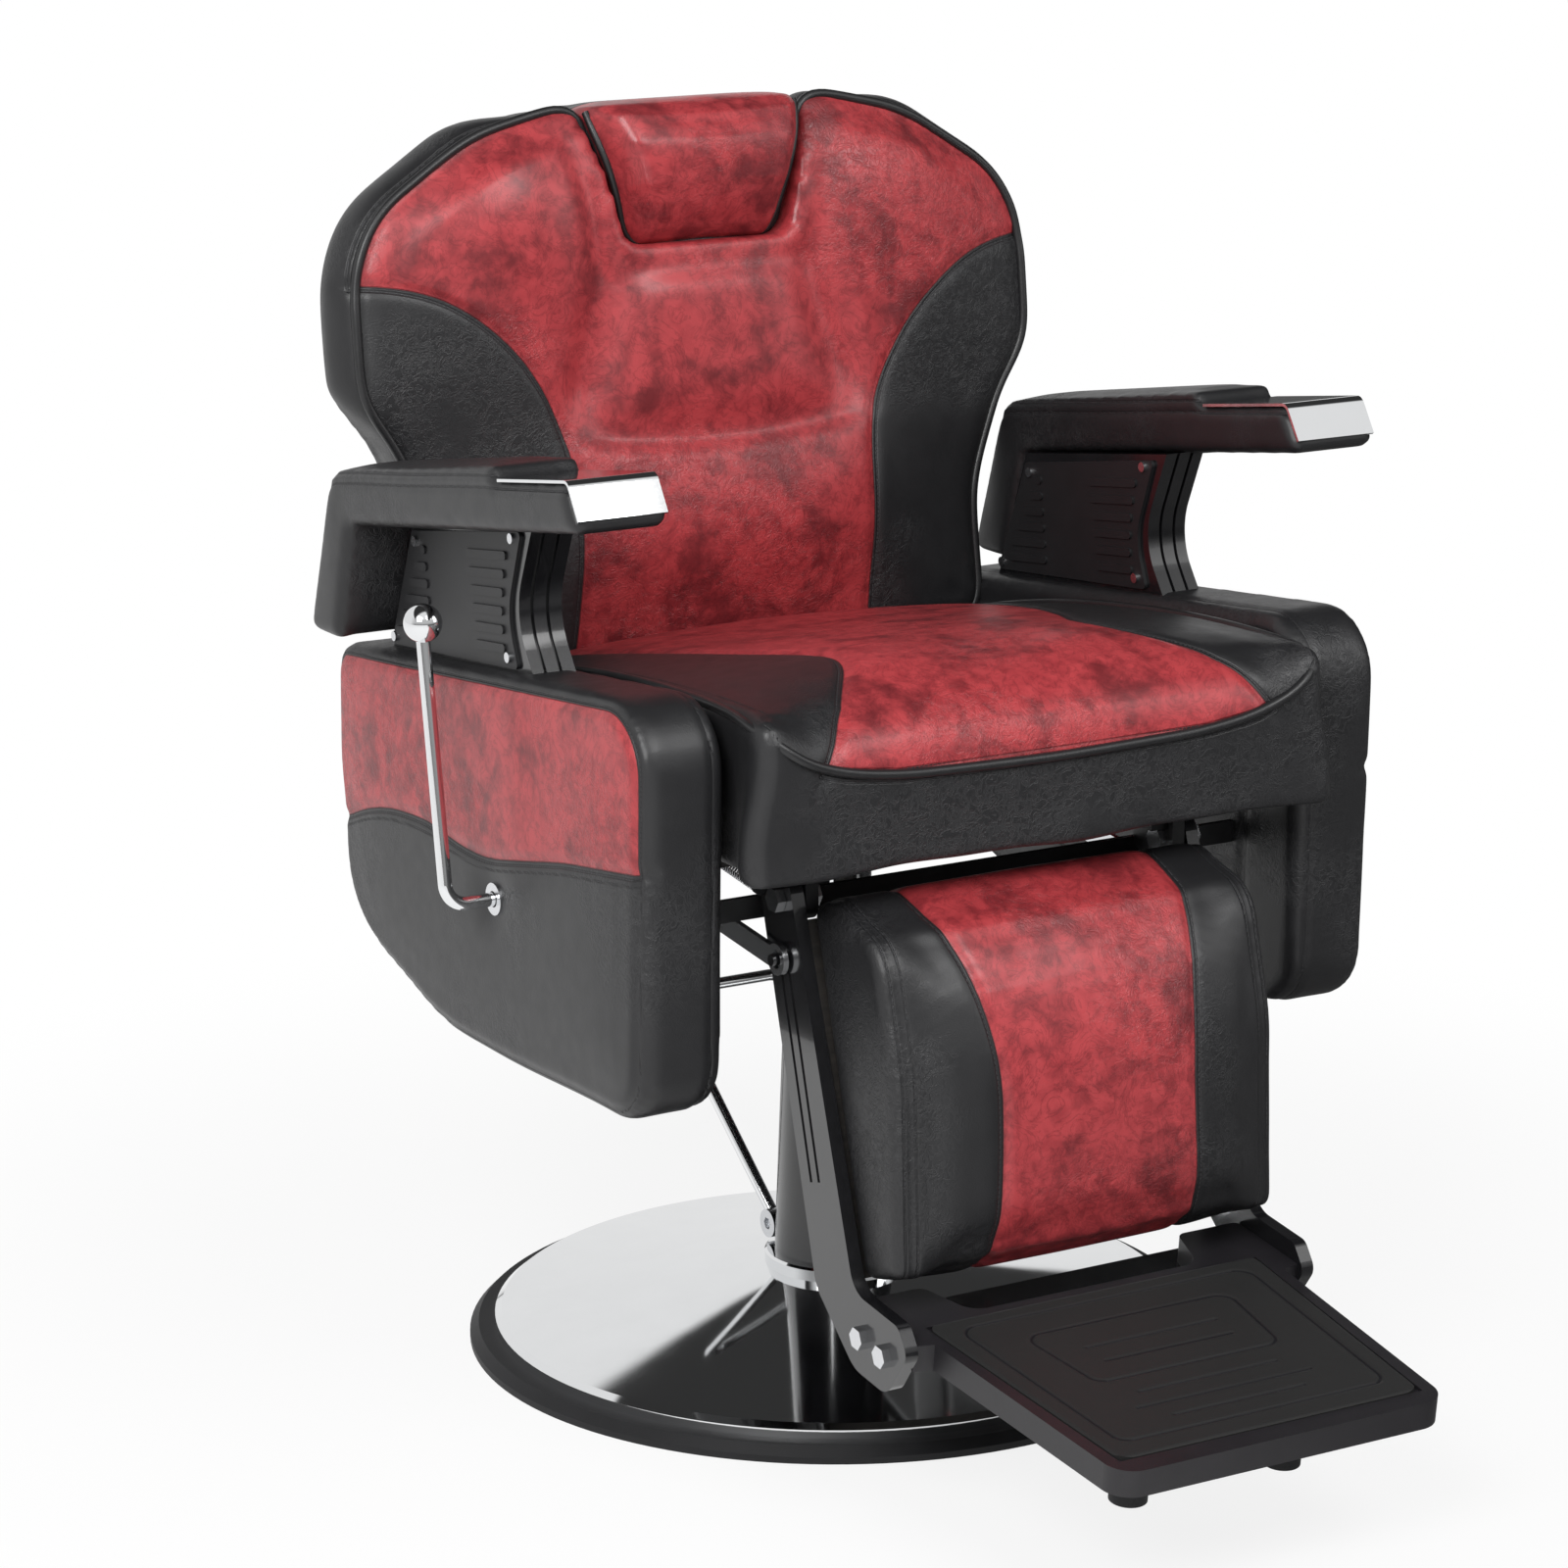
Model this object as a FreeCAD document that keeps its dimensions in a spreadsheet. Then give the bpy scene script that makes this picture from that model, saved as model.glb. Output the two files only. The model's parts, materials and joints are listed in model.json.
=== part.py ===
"""Hydraulic barber chair: pump base, swivel seat, reclining back, leg rest and footplate.

Millimetres, +Z up. The origin is where the column's axis meets the floor, and the sitter
faces -Y. The sitter's right side, with the recline lever, is at -X.
"""
import FreeCAD, Part
import math
import os
import re
import Sketcher
from FreeCAD import Placement, Rotation, Vector

# Driving dimensions, in millimetres and degrees
SIZES = {
    # Floor base
    "base_radius": 335,
    "ring_width": 36,
    "ring_height": 14,
    "ring_round": 8,
    "plate_gap": 1,
    "plate_height": 10,
    "dome_overlap": 13,
    "dome_band": 6,
    "dome_top": 64,
    "dome_wall": 3,
    "dome_hole": 45,
    "collar_radius": 66,
    "collar_height": 12,
    # Pump
    "barrel_radius": 39,
    "barrel_height": 364,
    "flange_radius": 70,
    "flange_height": 10,
    "gland_height": 6,
    "gland_wall": 8,
    "cover_foot_radius": 57,
    "cover_top_radius": 44,
    "cover_wall": 2,
    "cover_lip_gap": 1,
    "ram_radius": 32,
    "running_fit": 0.05,
    "ram_foot": 130,
    "ram_shoulder": 440,
    "stub_radius": 25,
    "stub_length": 50,
    # Pump pedal at the back of the column
    "pedal_pivot_back": 46,
    "pedal_pivot_rise": 28,
    "pedal_shaft_radius": 8,
    "pedal_boss_half": 28,
    "pedal_boss_radius": 14,
    "pedal_clamp_gap": 1,
    "pedal_clamp_width": 18,
    "pedal_socket_flats": 10,
    "pedal_socket_depth": 5,
    "pedal_reach": 156,
    "pedal_rise": 183,
    "pedal_half_width": 67,
    "pedal_rod_radius": 5.5,
    "pedal_bend": 20,
    "pedal_window": 6,
    # Swivel and seat frame
    "swivel_wall": 15,
    "swivel_gap": 2,
    "swivel_cap": 4,
    "mount_plate_height": 8,
    "mount_plate_half_length": 110,
    "rail_inner": 160,
    "rail_width": 16,
    "rail_height": 20,
    "rail_front": -262,
    "rail_back": 236,
    "hinge_plate": 12,
    "outrigger_front": 120,
    "outrigger_width": 30,
    "outrigger_height": 18,
    "bar_thickness": 6,
    "bar_height": 19,
    "bar_drop": 18,
    "leg_pivot_setback": 9,
    "leg_pivot_drop": 10,
    "leg_plate_drop": 28,
    "leg_plate_length": 60,
    "back_pivot_setback": 14,
    "back_plate_half": 25,
    "pivot_radius": 6,
    "leg_bolt_flats": 19,
    "leg_nut_height": 8,
    "leg_head_height": 8,
    "back_bolt_flats": 16,
    "back_head_height": 5.7,
    "moving_gap": 0.3,
    "board_height": 15,
    "board_half_width": 250,
    "board_front": -240,
    # Seat cushion
    "seat_half_width": 268,
    "seat_front": -352,
    "seat_back": 190,
    "seat_side_rise": 129,
    "seat_rear_rise": 66,
    "seat_middle_rise": 114,
    "seat_front_drop": 42,
    "seat_edge_drop": 12,
    "seat_waterfall": 56,
    "seat_edge_round": 14,
    "seat_front_corner": 46,
    "seat_crown": 14,
    "seat_drawn_in": 8,
    # Side panels
    "panel_inner": 286,
    "panel_thickness": 72,
    "panel_front": -310,
    "panel_back": 262,
    "panel_bottom": 326,
    "panel_top": 651,
    "panel_fall": 5.5,
    "panel_edge": 8,
    "panel_crown": 3,
    "panel_foot_back": 70,
    "panel_heel_back": 236,
    "panel_heel_rise": 54,
    # Armrests
    "arm_frame_inner": 296,
    "arm_frame_width": 40,
    "arm_gap": 0.3,
    "arm_pitch": 8.2,
    "arm_underside": 778,
    "arm_pad_inner": 304,
    "arm_pad_width": 86,
    "arm_pad_depth": 44,
    "arm_pad_crown": 10,
    "arm_pad_front": -264,
    "arm_pad_step": -118,
    "arm_leg_foot": 646,
    "arm_leg_front_foot": 200,
    "arm_leg_front_top": 172,
    "arm_leg_back_foot": 262,
    "arm_leg_back_top": 210,
    "arm_pad_edge": 6,
    "cap_wall": 2.5,
    "cap_margin": 3,
    "cap_bend": -243,
    "cap_front": -262,
    "cap_fall": 30,
    "frame_nose_top": -80,
    "frame_waist": -44,
    "frame_waist_share": 0.41,
    "frame_nose_foot": -78,
    "frame_heel_top": 150,
    "frame_heel_foot": 196,
    "flute_width": 3,
    "flute_depth": 2,
    "cover_plate": 3,
    "cover_inset": 8,
        "rib_width": 7.5,
    "rib_height": 2,
    "rib_pitch_share": 0.1236,
        "rib_first_share": 0.178,
    "rib_front": -30.5,
    "rib_bow": 50,
    "rib_middle": 19,
    "rib_middle_spread": 24,
    "rib_back": 105,
    "rib_back_spread": 15.5,
    "rib_heel": 194,
    "rib_heel_spread": 84,
    "screw_radius": 4.5,
    "screw_head": 2.5,
    # Recline lever
    "lever_pivot_back": -50,
    "lever_drop": 55,
    "lever_radius": 6,
    "lever_inner": 218,
    "lever_clear": 1.5,
    "lever_bend": 18,
    "lever_lean": 33,
    "lever_rise": 222,
    "knob_radius": 16.5,
    "escutcheon_radius": 14,
    "escutcheon_height": 4,
    "lever_hole_gap": 1,
    "bracket_inner": 236,
    "bracket_thickness": 8,
    "bracket_half": 18,
    "cam_radius": 13,
    "cam_width": 12,
    "cam_reach": 30,
    # Backrest, drawn square on and leant back by its tilt
    "back_ahead": 17,
    "back_rise": 88,
    "back_tilt": 6,
    "back_skirt": 8,
    "back_height": 510.5,
    "back_bottom_half": 281,
    "back_waist_half": 277,
    "back_waist_height": 118,
    "back_shoulder_half": 331,
    "back_shoulder_low": 255,
    "back_shoulder_high": 392,
    "back_crest_half": 215,
    "back_crest_height": 482,
    "back_top_half": 135,
    "back_thickness": 68,
    "back_crown": 25,
    "back_board": 12,
    "back_board_margin": 12,
    "notch_top_half": 115,
    "notch_bottom_half": 82,
    "notch_depth": 128,
    "notch_gap": 3,
    "crease_width": 7,
    "crease_height": 195,
    "crease_half": 134,
    "upright_inner": 190,
    "upright_thickness": 8,
    "upright_width": 34,
    "upright_top": 310,
    "crank_radius": 21,
    "crank_angle": 60,
    "stud_radius": 5,
    "stud_end": 214,
    # Headrest
    "head_bulge": 43,
    "head_rear_gap": 0.5,
    "stem_half_width": 20,
    "stem_thickness": 6,
    "stem_foot": 180,
    "stem_top": 470,
    "guide_foot": 300,
    "guide_height": 50,
    "guide_wall": 14,
    # Leg rest, drawn along its own leaning arms
    "leg_lean": 15.4,
    "leg_arm_inner": 190,
    "leg_arm_thickness": 12,
    "leg_arm_front": 18,
    "leg_arm_back": 32,
    "leg_arm_head": 22,
    "leg_arm_round": 20,
    "leg_stud_ahead": 4,
    "leg_stud_drop": 50,
    "groove_width": 4,
    "groove_depth": 1.5,
    "groove_pitch": 13,
    "groove_top": 62,
    "groove_foot": 236,
    "calf_half_width": 184,
    "calf_board": 10,
    "calf_board_top": 20,
    "calf_top": 6,
    "calf_length": 312,
    "calf_depth_top": 96,
    "calf_depth_bottom": 56,
    "calf_crown": 14,
    "calf_drawn_in": 6,
    # Footplate, drawn flat and tilted about its first bolt
    "foot_ahead": 130,
    "foot_drop": 341,
    "foot_tilt": 6.8,
    "foot_rear": 30,
    "foot_front": 312,
    "foot_neck": 64,
    "foot_rear_half": 173,
    "foot_front_half": 157,
    "foot_top": 17,
    "foot_thickness": 23,
    "foot_notch_half": 112,
    "foot_notch": 24,
    "foot_rib_front": 232,
    "foot_rib_rear": 188,
    "foot_wall": 8,
    "foot_hollow": 13,
    "foot_bolt_pitch": 36,
    "foot_bolt_radius": 6,
    "foot_bolt_length": 15,
    "foot_bolt_flats": 17,
    "foot_bolt_head": 7,
    "lug_half": 33,
    "lug_nose": 69,
    "mat_rear": 35,
    "mat_margin": 9,
    "mat_front_margin": 20,
    "mat_thickness": 4,
    "mat_proud": 1.4,
    "mat_gap": 0.3,
    "cross_plate_rear": 46,
    "cross_plate_front": -18,
    "cross_plate_height": 4,
    "bumper_half": 75,
    "bumper_radius": 16,
    "bumper_neck": 11,
    "bumper_height": 66,
    # Recline links between the backrest's cranks and the leg rest
    "link_inner": 204.3,
    "link_thickness": 5,
    "link_height": 18,
    "link_eye": 13.5,
    "link_slack": 3,
    # Return springs
    "spring_out": 209,
    "spring_leg_back": 22,
    "spring_leg_rise": 6,
    "spring_rail": -130,
    "spring_radius": 5.1,
    "spring_wire": 1.8,
    "spring_straight": 2,
    "spring_sweep": 4,
    "spring_anchor_radius": 6.5,
    "spring_anchor_half": 2.5,
    "spring_stud_radius": 3,
}
SPRING_TURNS = 22
RIB_ROWS = 6
SIDES = {"right": -1, "left": 1}

# Heights and places that follow from the driving dimensions
PUMP_FOOT = "plate_height"
BARREL_TOP = "(plate_height + barrel_height)"
COLLAR_TOP = "(dome_top + collar_height)"
COVER_TOP = f"({BARREL_TOP} + gland_height + cover_wall)"
PEDAL_Z = f"(dome_top + pedal_pivot_rise)"
STUB_TOP = "(ram_shoulder + stub_length)"
SWIVEL_TOP = f"({STUB_TOP} + swivel_cap)"
RAIL_FOOT = f"({SWIVEL_TOP} + mount_plate_height)"
RAIL_TOP = f"({RAIL_FOOT} + rail_height)"
RAIL_OUTER = "(rail_inner + rail_width)"
PLATE_OUTER = f"({RAIL_OUTER} + hinge_plate)"
BOARD_TOP = f"({RAIL_TOP} + board_height)"
LEG_Y = "(rail_front + leg_pivot_setback)"
LEG_Z = f"({RAIL_FOOT} - leg_pivot_drop)"
LEG_ARM_OUTER = "(leg_arm_inner + leg_arm_thickness)"
BACK_Y = "(rail_back - back_pivot_setback)"
BACK_Z = f"({RAIL_FOOT} + rail_height / 2)"
BACK_BASE_Y = f"({BACK_Y} - back_ahead)"
BACK_BASE_Z = f"({BACK_Z} + back_rise)"
PANEL_OUTER = "(panel_inner + panel_thickness)"
ARM_FRAME_OUTER = "(arm_frame_inner + arm_frame_width)"
ARM_PAD_OUTER = "(arm_pad_inner + arm_pad_width)"
LEVER_Z = f"({RAIL_TOP} - lever_drop)"
LEVER_REACH = f"({ARM_PAD_OUTER} + knob_radius + lever_clear)"
UPRIGHT_OUTER = "(upright_inner + upright_thickness)"
BOARD_FACE = "(back_thickness + back_board)"
BACK_TOP = "(back_height - back_skirt)"
FOOT_Y = f"({LEG_Y} - foot_ahead)"
FOOT_Z = f"({LEG_Z} - foot_drop)"
FOOT_UNDER = "(foot_top - foot_thickness)"

doc = FreeCAD.newDocument("BarberChair")
sheet = doc.addObject("Spreadsheet::Sheet", "Dimensions")
for row, (name, size) in enumerate(SIZES.items(), start=1):
    sheet.set(f"A{row}", name)
    sheet.set(f"B{row}", str(size))
    sheet.setAlias(f"B{row}", name)
doc.recompute()

nodes = []


# Expressions of the sheet's names
def number(text):
    """The value of an expression of the sheet's names."""
    return float(sheet.evalExpression(str(text)))


def bind(item, prop, text):
    """Tie a property to an expression of the sheet's names."""
    def with_sheet(word):
        return f"Dimensions.{word.group()}" if word.group() in SIZES else word.group()
    item.setExpression(prop, re.sub(r"[a-z_]+", with_sheet, str(text)))


def keep(item):
    """Count an object as one of the chair's own pieces."""
    nodes.append(item)
    return item


def start_of(side, inner, outer):
    """Where a piece that spans inner to outer on one side starts, going along +X."""
    return inner if side > 0 else f"-({outer})"


# Pieces drawn as a sketch on an origin plane
FLAT = {
    "XY_Plane": lambda point: (point.x, point.y),
    "XZ_Plane": lambda point: (point.x, point.z),
    "YZ_Plane": lambda point: (point.y, point.z),
}


def sketch_on(body, role, shift, name):
    """A sketch on one of a body's own origin planes, moved along the plane's normal."""
    sketch = body.newObject("Sketcher::SketchObject", name)
    plane = next(item for item in body.Origin.OriginFeatures if item.Role == role)
    sketch.AttachmentSupport = [(plane, "")]
    sketch.MapMode = "FlatFace"
    bind(sketch, "AttachmentOffset.Base.z", shift)
    return sketch


def place_point(sketch, geometry, position, place):
    """Hold a sketch point at its two expressions, measured from the origin."""
    for kind, text in zip(("DistanceX", "DistanceY"), place):
        rule = Sketcher.Constraint(kind, -1, 1, geometry, position, number(text))
        index = sketch.addConstraint(rule)
        bind(sketch, f"Constraints[{index}]", text)


def draw_polygon(sketch, corners):
    """Straight lines through the corners, closed, each corner held by its expressions."""
    spots = [Vector(number(u), number(v), 0) for u, v in corners]
    first = sketch.GeometryCount
    count = len(spots)
    for index in range(count):
        sketch.addGeometry(Part.LineSegment(spots[index], spots[(index + 1) % count]))
    for index in range(count):
        following = first + (index + 1) % count
        sketch.addConstraint(Sketcher.Constraint("Coincident", first + index, 2, following, 1))
    for index, corner in enumerate(corners):
        place_point(sketch, first + index, 1, corner)


def draw_circles(sketch, circles):
    """Circles given as (u, v, radius) expressions."""
    for u, v, radius in circles:
        centre = Vector(number(u), number(v), 0)
        circle = Part.Circle(centre, Vector(0, 0, 1), number(radius))
        index = sketch.addGeometry(circle)
        rule = sketch.addConstraint(Sketcher.Constraint("Radius", index, number(radius)))
        bind(sketch, f"Constraints[{rule}]", radius)
        place_point(sketch, index, 3, (u, v))


def cut_through(body, role, name, draw, shapes):
    """A pocket through the whole body, drawn on one of its origin planes."""
    sketch = sketch_on(body, role, "0", name + "_sketch")
    draw(sketch, shapes)
    pocket = body.newObject("PartDesign::Pocket", name)
    pocket.Profile = sketch
    pocket.Type = "ThroughAll"
    pocket.SideType = "Symmetric"
    doc.recompute()
    return pocket


def cut_to_depth(body, role, name, shift, depth, outlines, reverse=False):
    """A pocket of one depth from a sketch plane."""
    sketch = sketch_on(body, role, shift, name + "_sketch")
    for outline in outlines:
        draw_polygon(sketch, outline)
    pocket = body.newObject("PartDesign::Pocket", name)
    pocket.Profile = sketch
    pocket.Reversed = reverse
    bind(pocket, "Length", depth)
    doc.recompute()
    return pocket


def corner_edges(shape, role, corners):
    """Names of the edges that stand square to the sketch plane at the given corners."""
    found = []
    flat = FLAT[role]
    spots = [(number(u), number(v)) for u, v in corners]
    for index, edge in enumerate(shape.Edges, start=1):
        if len(edge.Vertexes) != 2:
            continue
        ends = [flat(vertex.Point) for vertex in edge.Vertexes]
        for spot in spots:
            if all(math.dist(end, spot) < 1e-4 for end in ends):
                found.append(f"Edge{index}")
    return found


def prism(label, role, corners, start, depth, rounds=(), holes=()):
    """A flat piece: a polygon padded by its depth, with rounded corners and round holes."""
    body = doc.addObject("PartDesign::Body", label)
    sketch = sketch_on(body, role, start, label + "_outline")
    draw_polygon(sketch, corners)
    solid = body.newObject("PartDesign::Pad", label + "_pad")
    solid.Profile = sketch
    bind(solid, "Length", depth)
    doc.recompute()
    for index, (radius, wanted) in enumerate(rounds):
        edges = corner_edges(solid.Shape, role, [corners[place] for place in wanted])
        fillet = body.newObject("PartDesign::Fillet", f"{label}_round_{index}")
        fillet.Base = (solid, edges)
        bind(fillet, "Radius", radius)
        doc.recompute()
        solid = fillet
    if holes:
        cut_through(body, role, label + "_holes", draw_circles, holes)
    return body


def turned(label, corners):
    """A piece turned about the column's axis from its half section in X and Z."""
    body = doc.addObject("PartDesign::Body", label)
    sketch = sketch_on(body, "XZ_Plane", "0", label + "_section")
    draw_polygon(sketch, corners)
    solid = body.newObject("PartDesign::Revolution", label + "_turned")
    solid.Profile = sketch
    solid.ReferenceAxis = (sketch, ["V_Axis"])
    solid.Angle = 360
    doc.recompute()
    return body


# Primitives, and how they join
ALONG = {
    "X": Rotation(Vector(1, 1, 1), 120),
    "Y": Rotation(Vector(1, 0, 0), -90),
    "Z": Rotation(),
}


def place(item, x, y, z, turn=None):
    """Bind an object's position, and turn it."""
    if turn is not None:
        item.Placement = Placement(Vector(), turn)
    for axis, text in zip("xyz", (x, y, z)):
        bind(item, f"Placement.Base.{axis}", text)
    return item


def rod(label, axis, radius, length, x, y, z):
    """A round bar from a point along an axis."""
    item = doc.addObject("Part::Cylinder", label)
    bind(item, "Radius", radius)
    bind(item, "Height", length)
    return place(item, x, y, z, ALONG[axis])


def hexagon(label, flats, length, x, y, z):
    """A six-sided bar along X with two of its flats level."""
    item = doc.addObject("Part::Prism", label)
    item.Polygon = 6
    bind(item, "Circumradius", f"({flats}) / sqrt(3)")
    bind(item, "Height", length)
    return place(item, x, y, z, ALONG["X"])


def block(label, low, high):
    """A box between two corners given as expressions."""
    item = doc.addObject("Part::Box", label)
    for prop, least, most in zip(("Length", "Width", "Height"), low, high):
        bind(item, prop, f"({most}) - ({least})")
    return place(item, *low)


def cut(label, base, *tools):
    """One object less others."""
    tool = tools[0] if len(tools) == 1 else group(label + "_tools", tools)
    item = doc.addObject("Part::Cut", label)
    item.Base = base
    item.Tool = tool
    return item


def fuse(label, *items):
    """Several objects joined into one solid."""
    item = doc.addObject("Part::MultiFuse", label)
    item.Shapes = list(items)
    return item


def group(label, items):
    """Separate solids kept under one name."""
    item = doc.addObject("Part::Compound", label)
    item.Links = list(items)
    return item


def formed(label, shape, frame=None):
    """A piece whose own form no sketch or primitive gives."""
    item = doc.addObject("Part::Feature", label)
    item.Shape = shape
    if frame is not None:
        item.Placement = frame
    return item


# Outlines of straight sides with rounded corners, and lofts through them
LEAST_ROUND = 1.0


def rounded(corners, drawn_in=0.0):
    """The start, middle and end of each corner's arc, with every side moved inwards.

    The corners are (u, v, radius), anticlockwise.
    """
    sides = []
    for index, (u, v, _) in enumerate(corners):
        after = corners[(index + 1) % len(corners)]
        along = Vector(after[0] - u, after[1] - v, 0).normalize()
        inward = Vector(-along.y, along.x, 0)
        sides.append((Vector(u, v, 0) + inward * drawn_in, along))
    arcs = []
    for index, (_, _, radius) in enumerate(corners):
        before, first = sides[index - 1]
        after, second = sides[index]
        cross = first.x * second.y - first.y * second.x
        apart = after - before
        reach = (apart.x * second.y - apart.y * second.x) / cross
        corner = before + first * reach
        turn = math.atan2(cross, first.dot(second))
        held = radius - drawn_in if turn > 0 else radius + drawn_in
        held = max(held, LEAST_ROUND)
        tangent = held * math.tan(abs(turn) / 2)
        rise = held / math.cos(turn / 2) - held
        middle = corner + (second - first).normalize() * rise
        arcs.append((corner - first * tangent, middle, corner + second * tangent))
    return arcs


def outline_wire(arcs, lift):
    """A closed wire of arcs and lines, each flat point lifted into space."""
    edges = []
    for index, (start, middle, end) in enumerate(arcs):
        following = arcs[(index + 1) % len(arcs)][0]
        edges.append(Part.Arc(lift(start), lift(middle), lift(end)).toShape())
        edges.append(Part.LineSegment(lift(end), lift(following)).toShape())
    return Part.Wire(edges)


def at_x(x):
    """Lift a point of the Y and Z plane to one X."""
    return lambda point: Vector(x, point.x, point.y)


def at_depth(depth):
    """Lift a point of the X and Z plane to one depth."""
    return lambda point: Vector(point.x, depth, point.y)


def values(corners):
    """Corner expressions worked out as numbers."""
    return [tuple(number(text) for text in corner) for corner in corners]


def extruded(arcs, lift, along):
    """A flat-sided solid of one outline."""
    return Part.Face(outline_wire(arcs, lift)).extrude(along)


def padded_between(corners, stations):
    """A loft along X: stations are (x, how far the outline is drawn in)."""
    wires = [outline_wire(rounded(corners, inset), at_x(x)) for x, inset in stations]
    return Part.makeLoft(wires, True, True)


# Frames of the parts that are drawn square on and then leant
def leaning(y, z, angle):
    """The placement of a frame at a pivot, turned about X."""
    return Placement(Vector(0, number(y), number(z)), Rotation(Vector(1, 0, 0), angle))


def lean(item, y, z, angle):
    """Give an object a leaning frame, its position tied to the sheet."""
    return place(item, "0", y, z, Rotation(Vector(1, 0, 0), angle))


BACK_ANGLE = -number("back_tilt")
LEG_ANGLE = -number("leg_lean")
FOOT_ANGLE = number("foot_tilt")
BACK_FRAME = leaning(BACK_BASE_Y, BACK_BASE_Z, BACK_ANGLE)
LEG_FRAME = leaning(LEG_Y, LEG_Z, LEG_ANGLE)
FOOT_FRAME = leaning(FOOT_Y, FOOT_Z, FOOT_ANGLE)


def lean_back(item):
    """Put a piece drawn in the backrest's frame in its place."""
    return lean(item, BACK_BASE_Y, BACK_BASE_Z, BACK_ANGLE)


def lean_leg(item):
    """Put a piece drawn in the leg rest's frame in its place."""
    return lean(item, LEG_Y, LEG_Z, LEG_ANGLE)


def lean_foot(item):
    """Put a piece drawn in the footplate's frame in its place."""
    return lean(item, FOOT_Y, FOOT_Z, FOOT_ANGLE)


# Floor base: cast plate, rubber-edged ring and polished dome
def make_base():
    plate_radius = "(base_radius - ring_width - plate_gap)"
    keep(turned("base_plate", [
        ("0", "0"),
        (plate_radius, "0"),
        (plate_radius, "plate_height"),
        ("0", "plate_height"),
    ]))
    ring_inner = "(base_radius - ring_width)"
    keep(turned("base_ring", [
        (ring_inner, "0"),
        ("base_radius", "0"),
        ("base_radius", "ring_height - ring_round"),
        ("base_radius - ring_round", "ring_height"),
        (ring_inner, "ring_height"),
    ]))
    dome_radius = f"({ring_inner} + dome_overlap)"
    band_top = "(ring_height + dome_band)"
    keep(turned("base_dome", [
        ("dome_hole", "dome_top - dome_wall"),
        ("collar_radius", "dome_top - dome_wall"),
        (f"{dome_radius} - 2 * dome_wall", f"{band_top} + dome_wall"),
        (f"{dome_radius} - dome_wall", band_top),
        (f"{dome_radius} - dome_wall", "ring_height"),
        (dome_radius, "ring_height"),
        (dome_radius, f"{band_top} + dome_wall / 2"),
        (f"{dome_radius} - 2 * dome_wall", f"{band_top} + 2 * dome_wall"),
        ("collar_radius", "dome_top"),
        ("dome_hole", "dome_top"),
    ]))


# Pump: barrel with its pedal boss, gland, cover, collar and ram
def make_pump():
    bore = "(ram_radius + running_fit)"
    barrel = turned("barrel_turned", [
        ("0", PUMP_FOOT),
        ("flange_radius", PUMP_FOOT),
        ("flange_radius", f"{PUMP_FOOT} + flange_height"),
        ("barrel_radius", f"{PUMP_FOOT} + flange_height"),
        ("barrel_radius", BARREL_TOP),
        ("0", BARREL_TOP),
    ])
    boss = block(
        "pedal_boss",
        ("-pedal_boss_half", "0", f"{PEDAL_Z} - pedal_boss_radius"),
        ("pedal_boss_half", "pedal_pivot_back + pedal_boss_radius", f"{PEDAL_Z} + pedal_boss_radius"),
    )
    hollow = rod("barrel_bore", "Z", bore, f"{BARREL_TOP}", "0", "0", f"{PUMP_FOOT} + flange_height")
    shaft_bore = rod(
        "pedal_bore", "X", "pedal_shaft_radius + running_fit", "2 * pedal_boss_half",
        "-pedal_boss_half", "pedal_pivot_back", PEDAL_Z,
    )
    keep(cut("pump_barrel", fuse("barrel_with_boss", barrel, boss), hollow, shaft_bore))
    keep(turned("ram_gland", [
        (bore, BARREL_TOP),
        ("ram_radius + gland_wall", BARREL_TOP),
        ("ram_radius + gland_wall", f"{BARREL_TOP} + gland_height"),
        (bore, f"{BARREL_TOP} + gland_height"),
    ]))
    keep(turned("cover_collar", [
        ("dome_hole", "dome_top"),
        ("collar_radius", "dome_top"),
        ("collar_radius", f"{COLLAR_TOP} - cover_wall"),
        ("collar_radius - cover_wall", COLLAR_TOP),
        ("dome_hole", COLLAR_TOP),
    ]))
    cover = turned("cover_turned", [
        ("cover_foot_radius - cover_wall", COLLAR_TOP),
        ("cover_foot_radius", COLLAR_TOP),
        ("cover_top_radius", COVER_TOP),
        ("ram_radius + cover_lip_gap", COVER_TOP),
        ("ram_radius + cover_lip_gap", f"{COVER_TOP} - cover_wall"),
        ("cover_top_radius - cover_wall", f"{COVER_TOP} - cover_wall"),
    ])
    window = block(
        "pedal_window",
        ("-cover_foot_radius", "pedal_pivot_back - pedal_clamp_width", COLLAR_TOP),
        ("cover_foot_radius", "cover_foot_radius",
         f"{PEDAL_Z} + pedal_boss_radius + pedal_window"),
    )
    keep(cut("pump_cover", cover, window))
    keep(turned("lift_ram", [
        ("0", "ram_foot"),
        ("ram_radius", "ram_foot"),
        ("ram_radius", "ram_shoulder"),
        ("stub_radius", "ram_shoulder"),
        ("stub_radius", STUB_TOP),
        ("0", STUB_TOP),
    ]))


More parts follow.
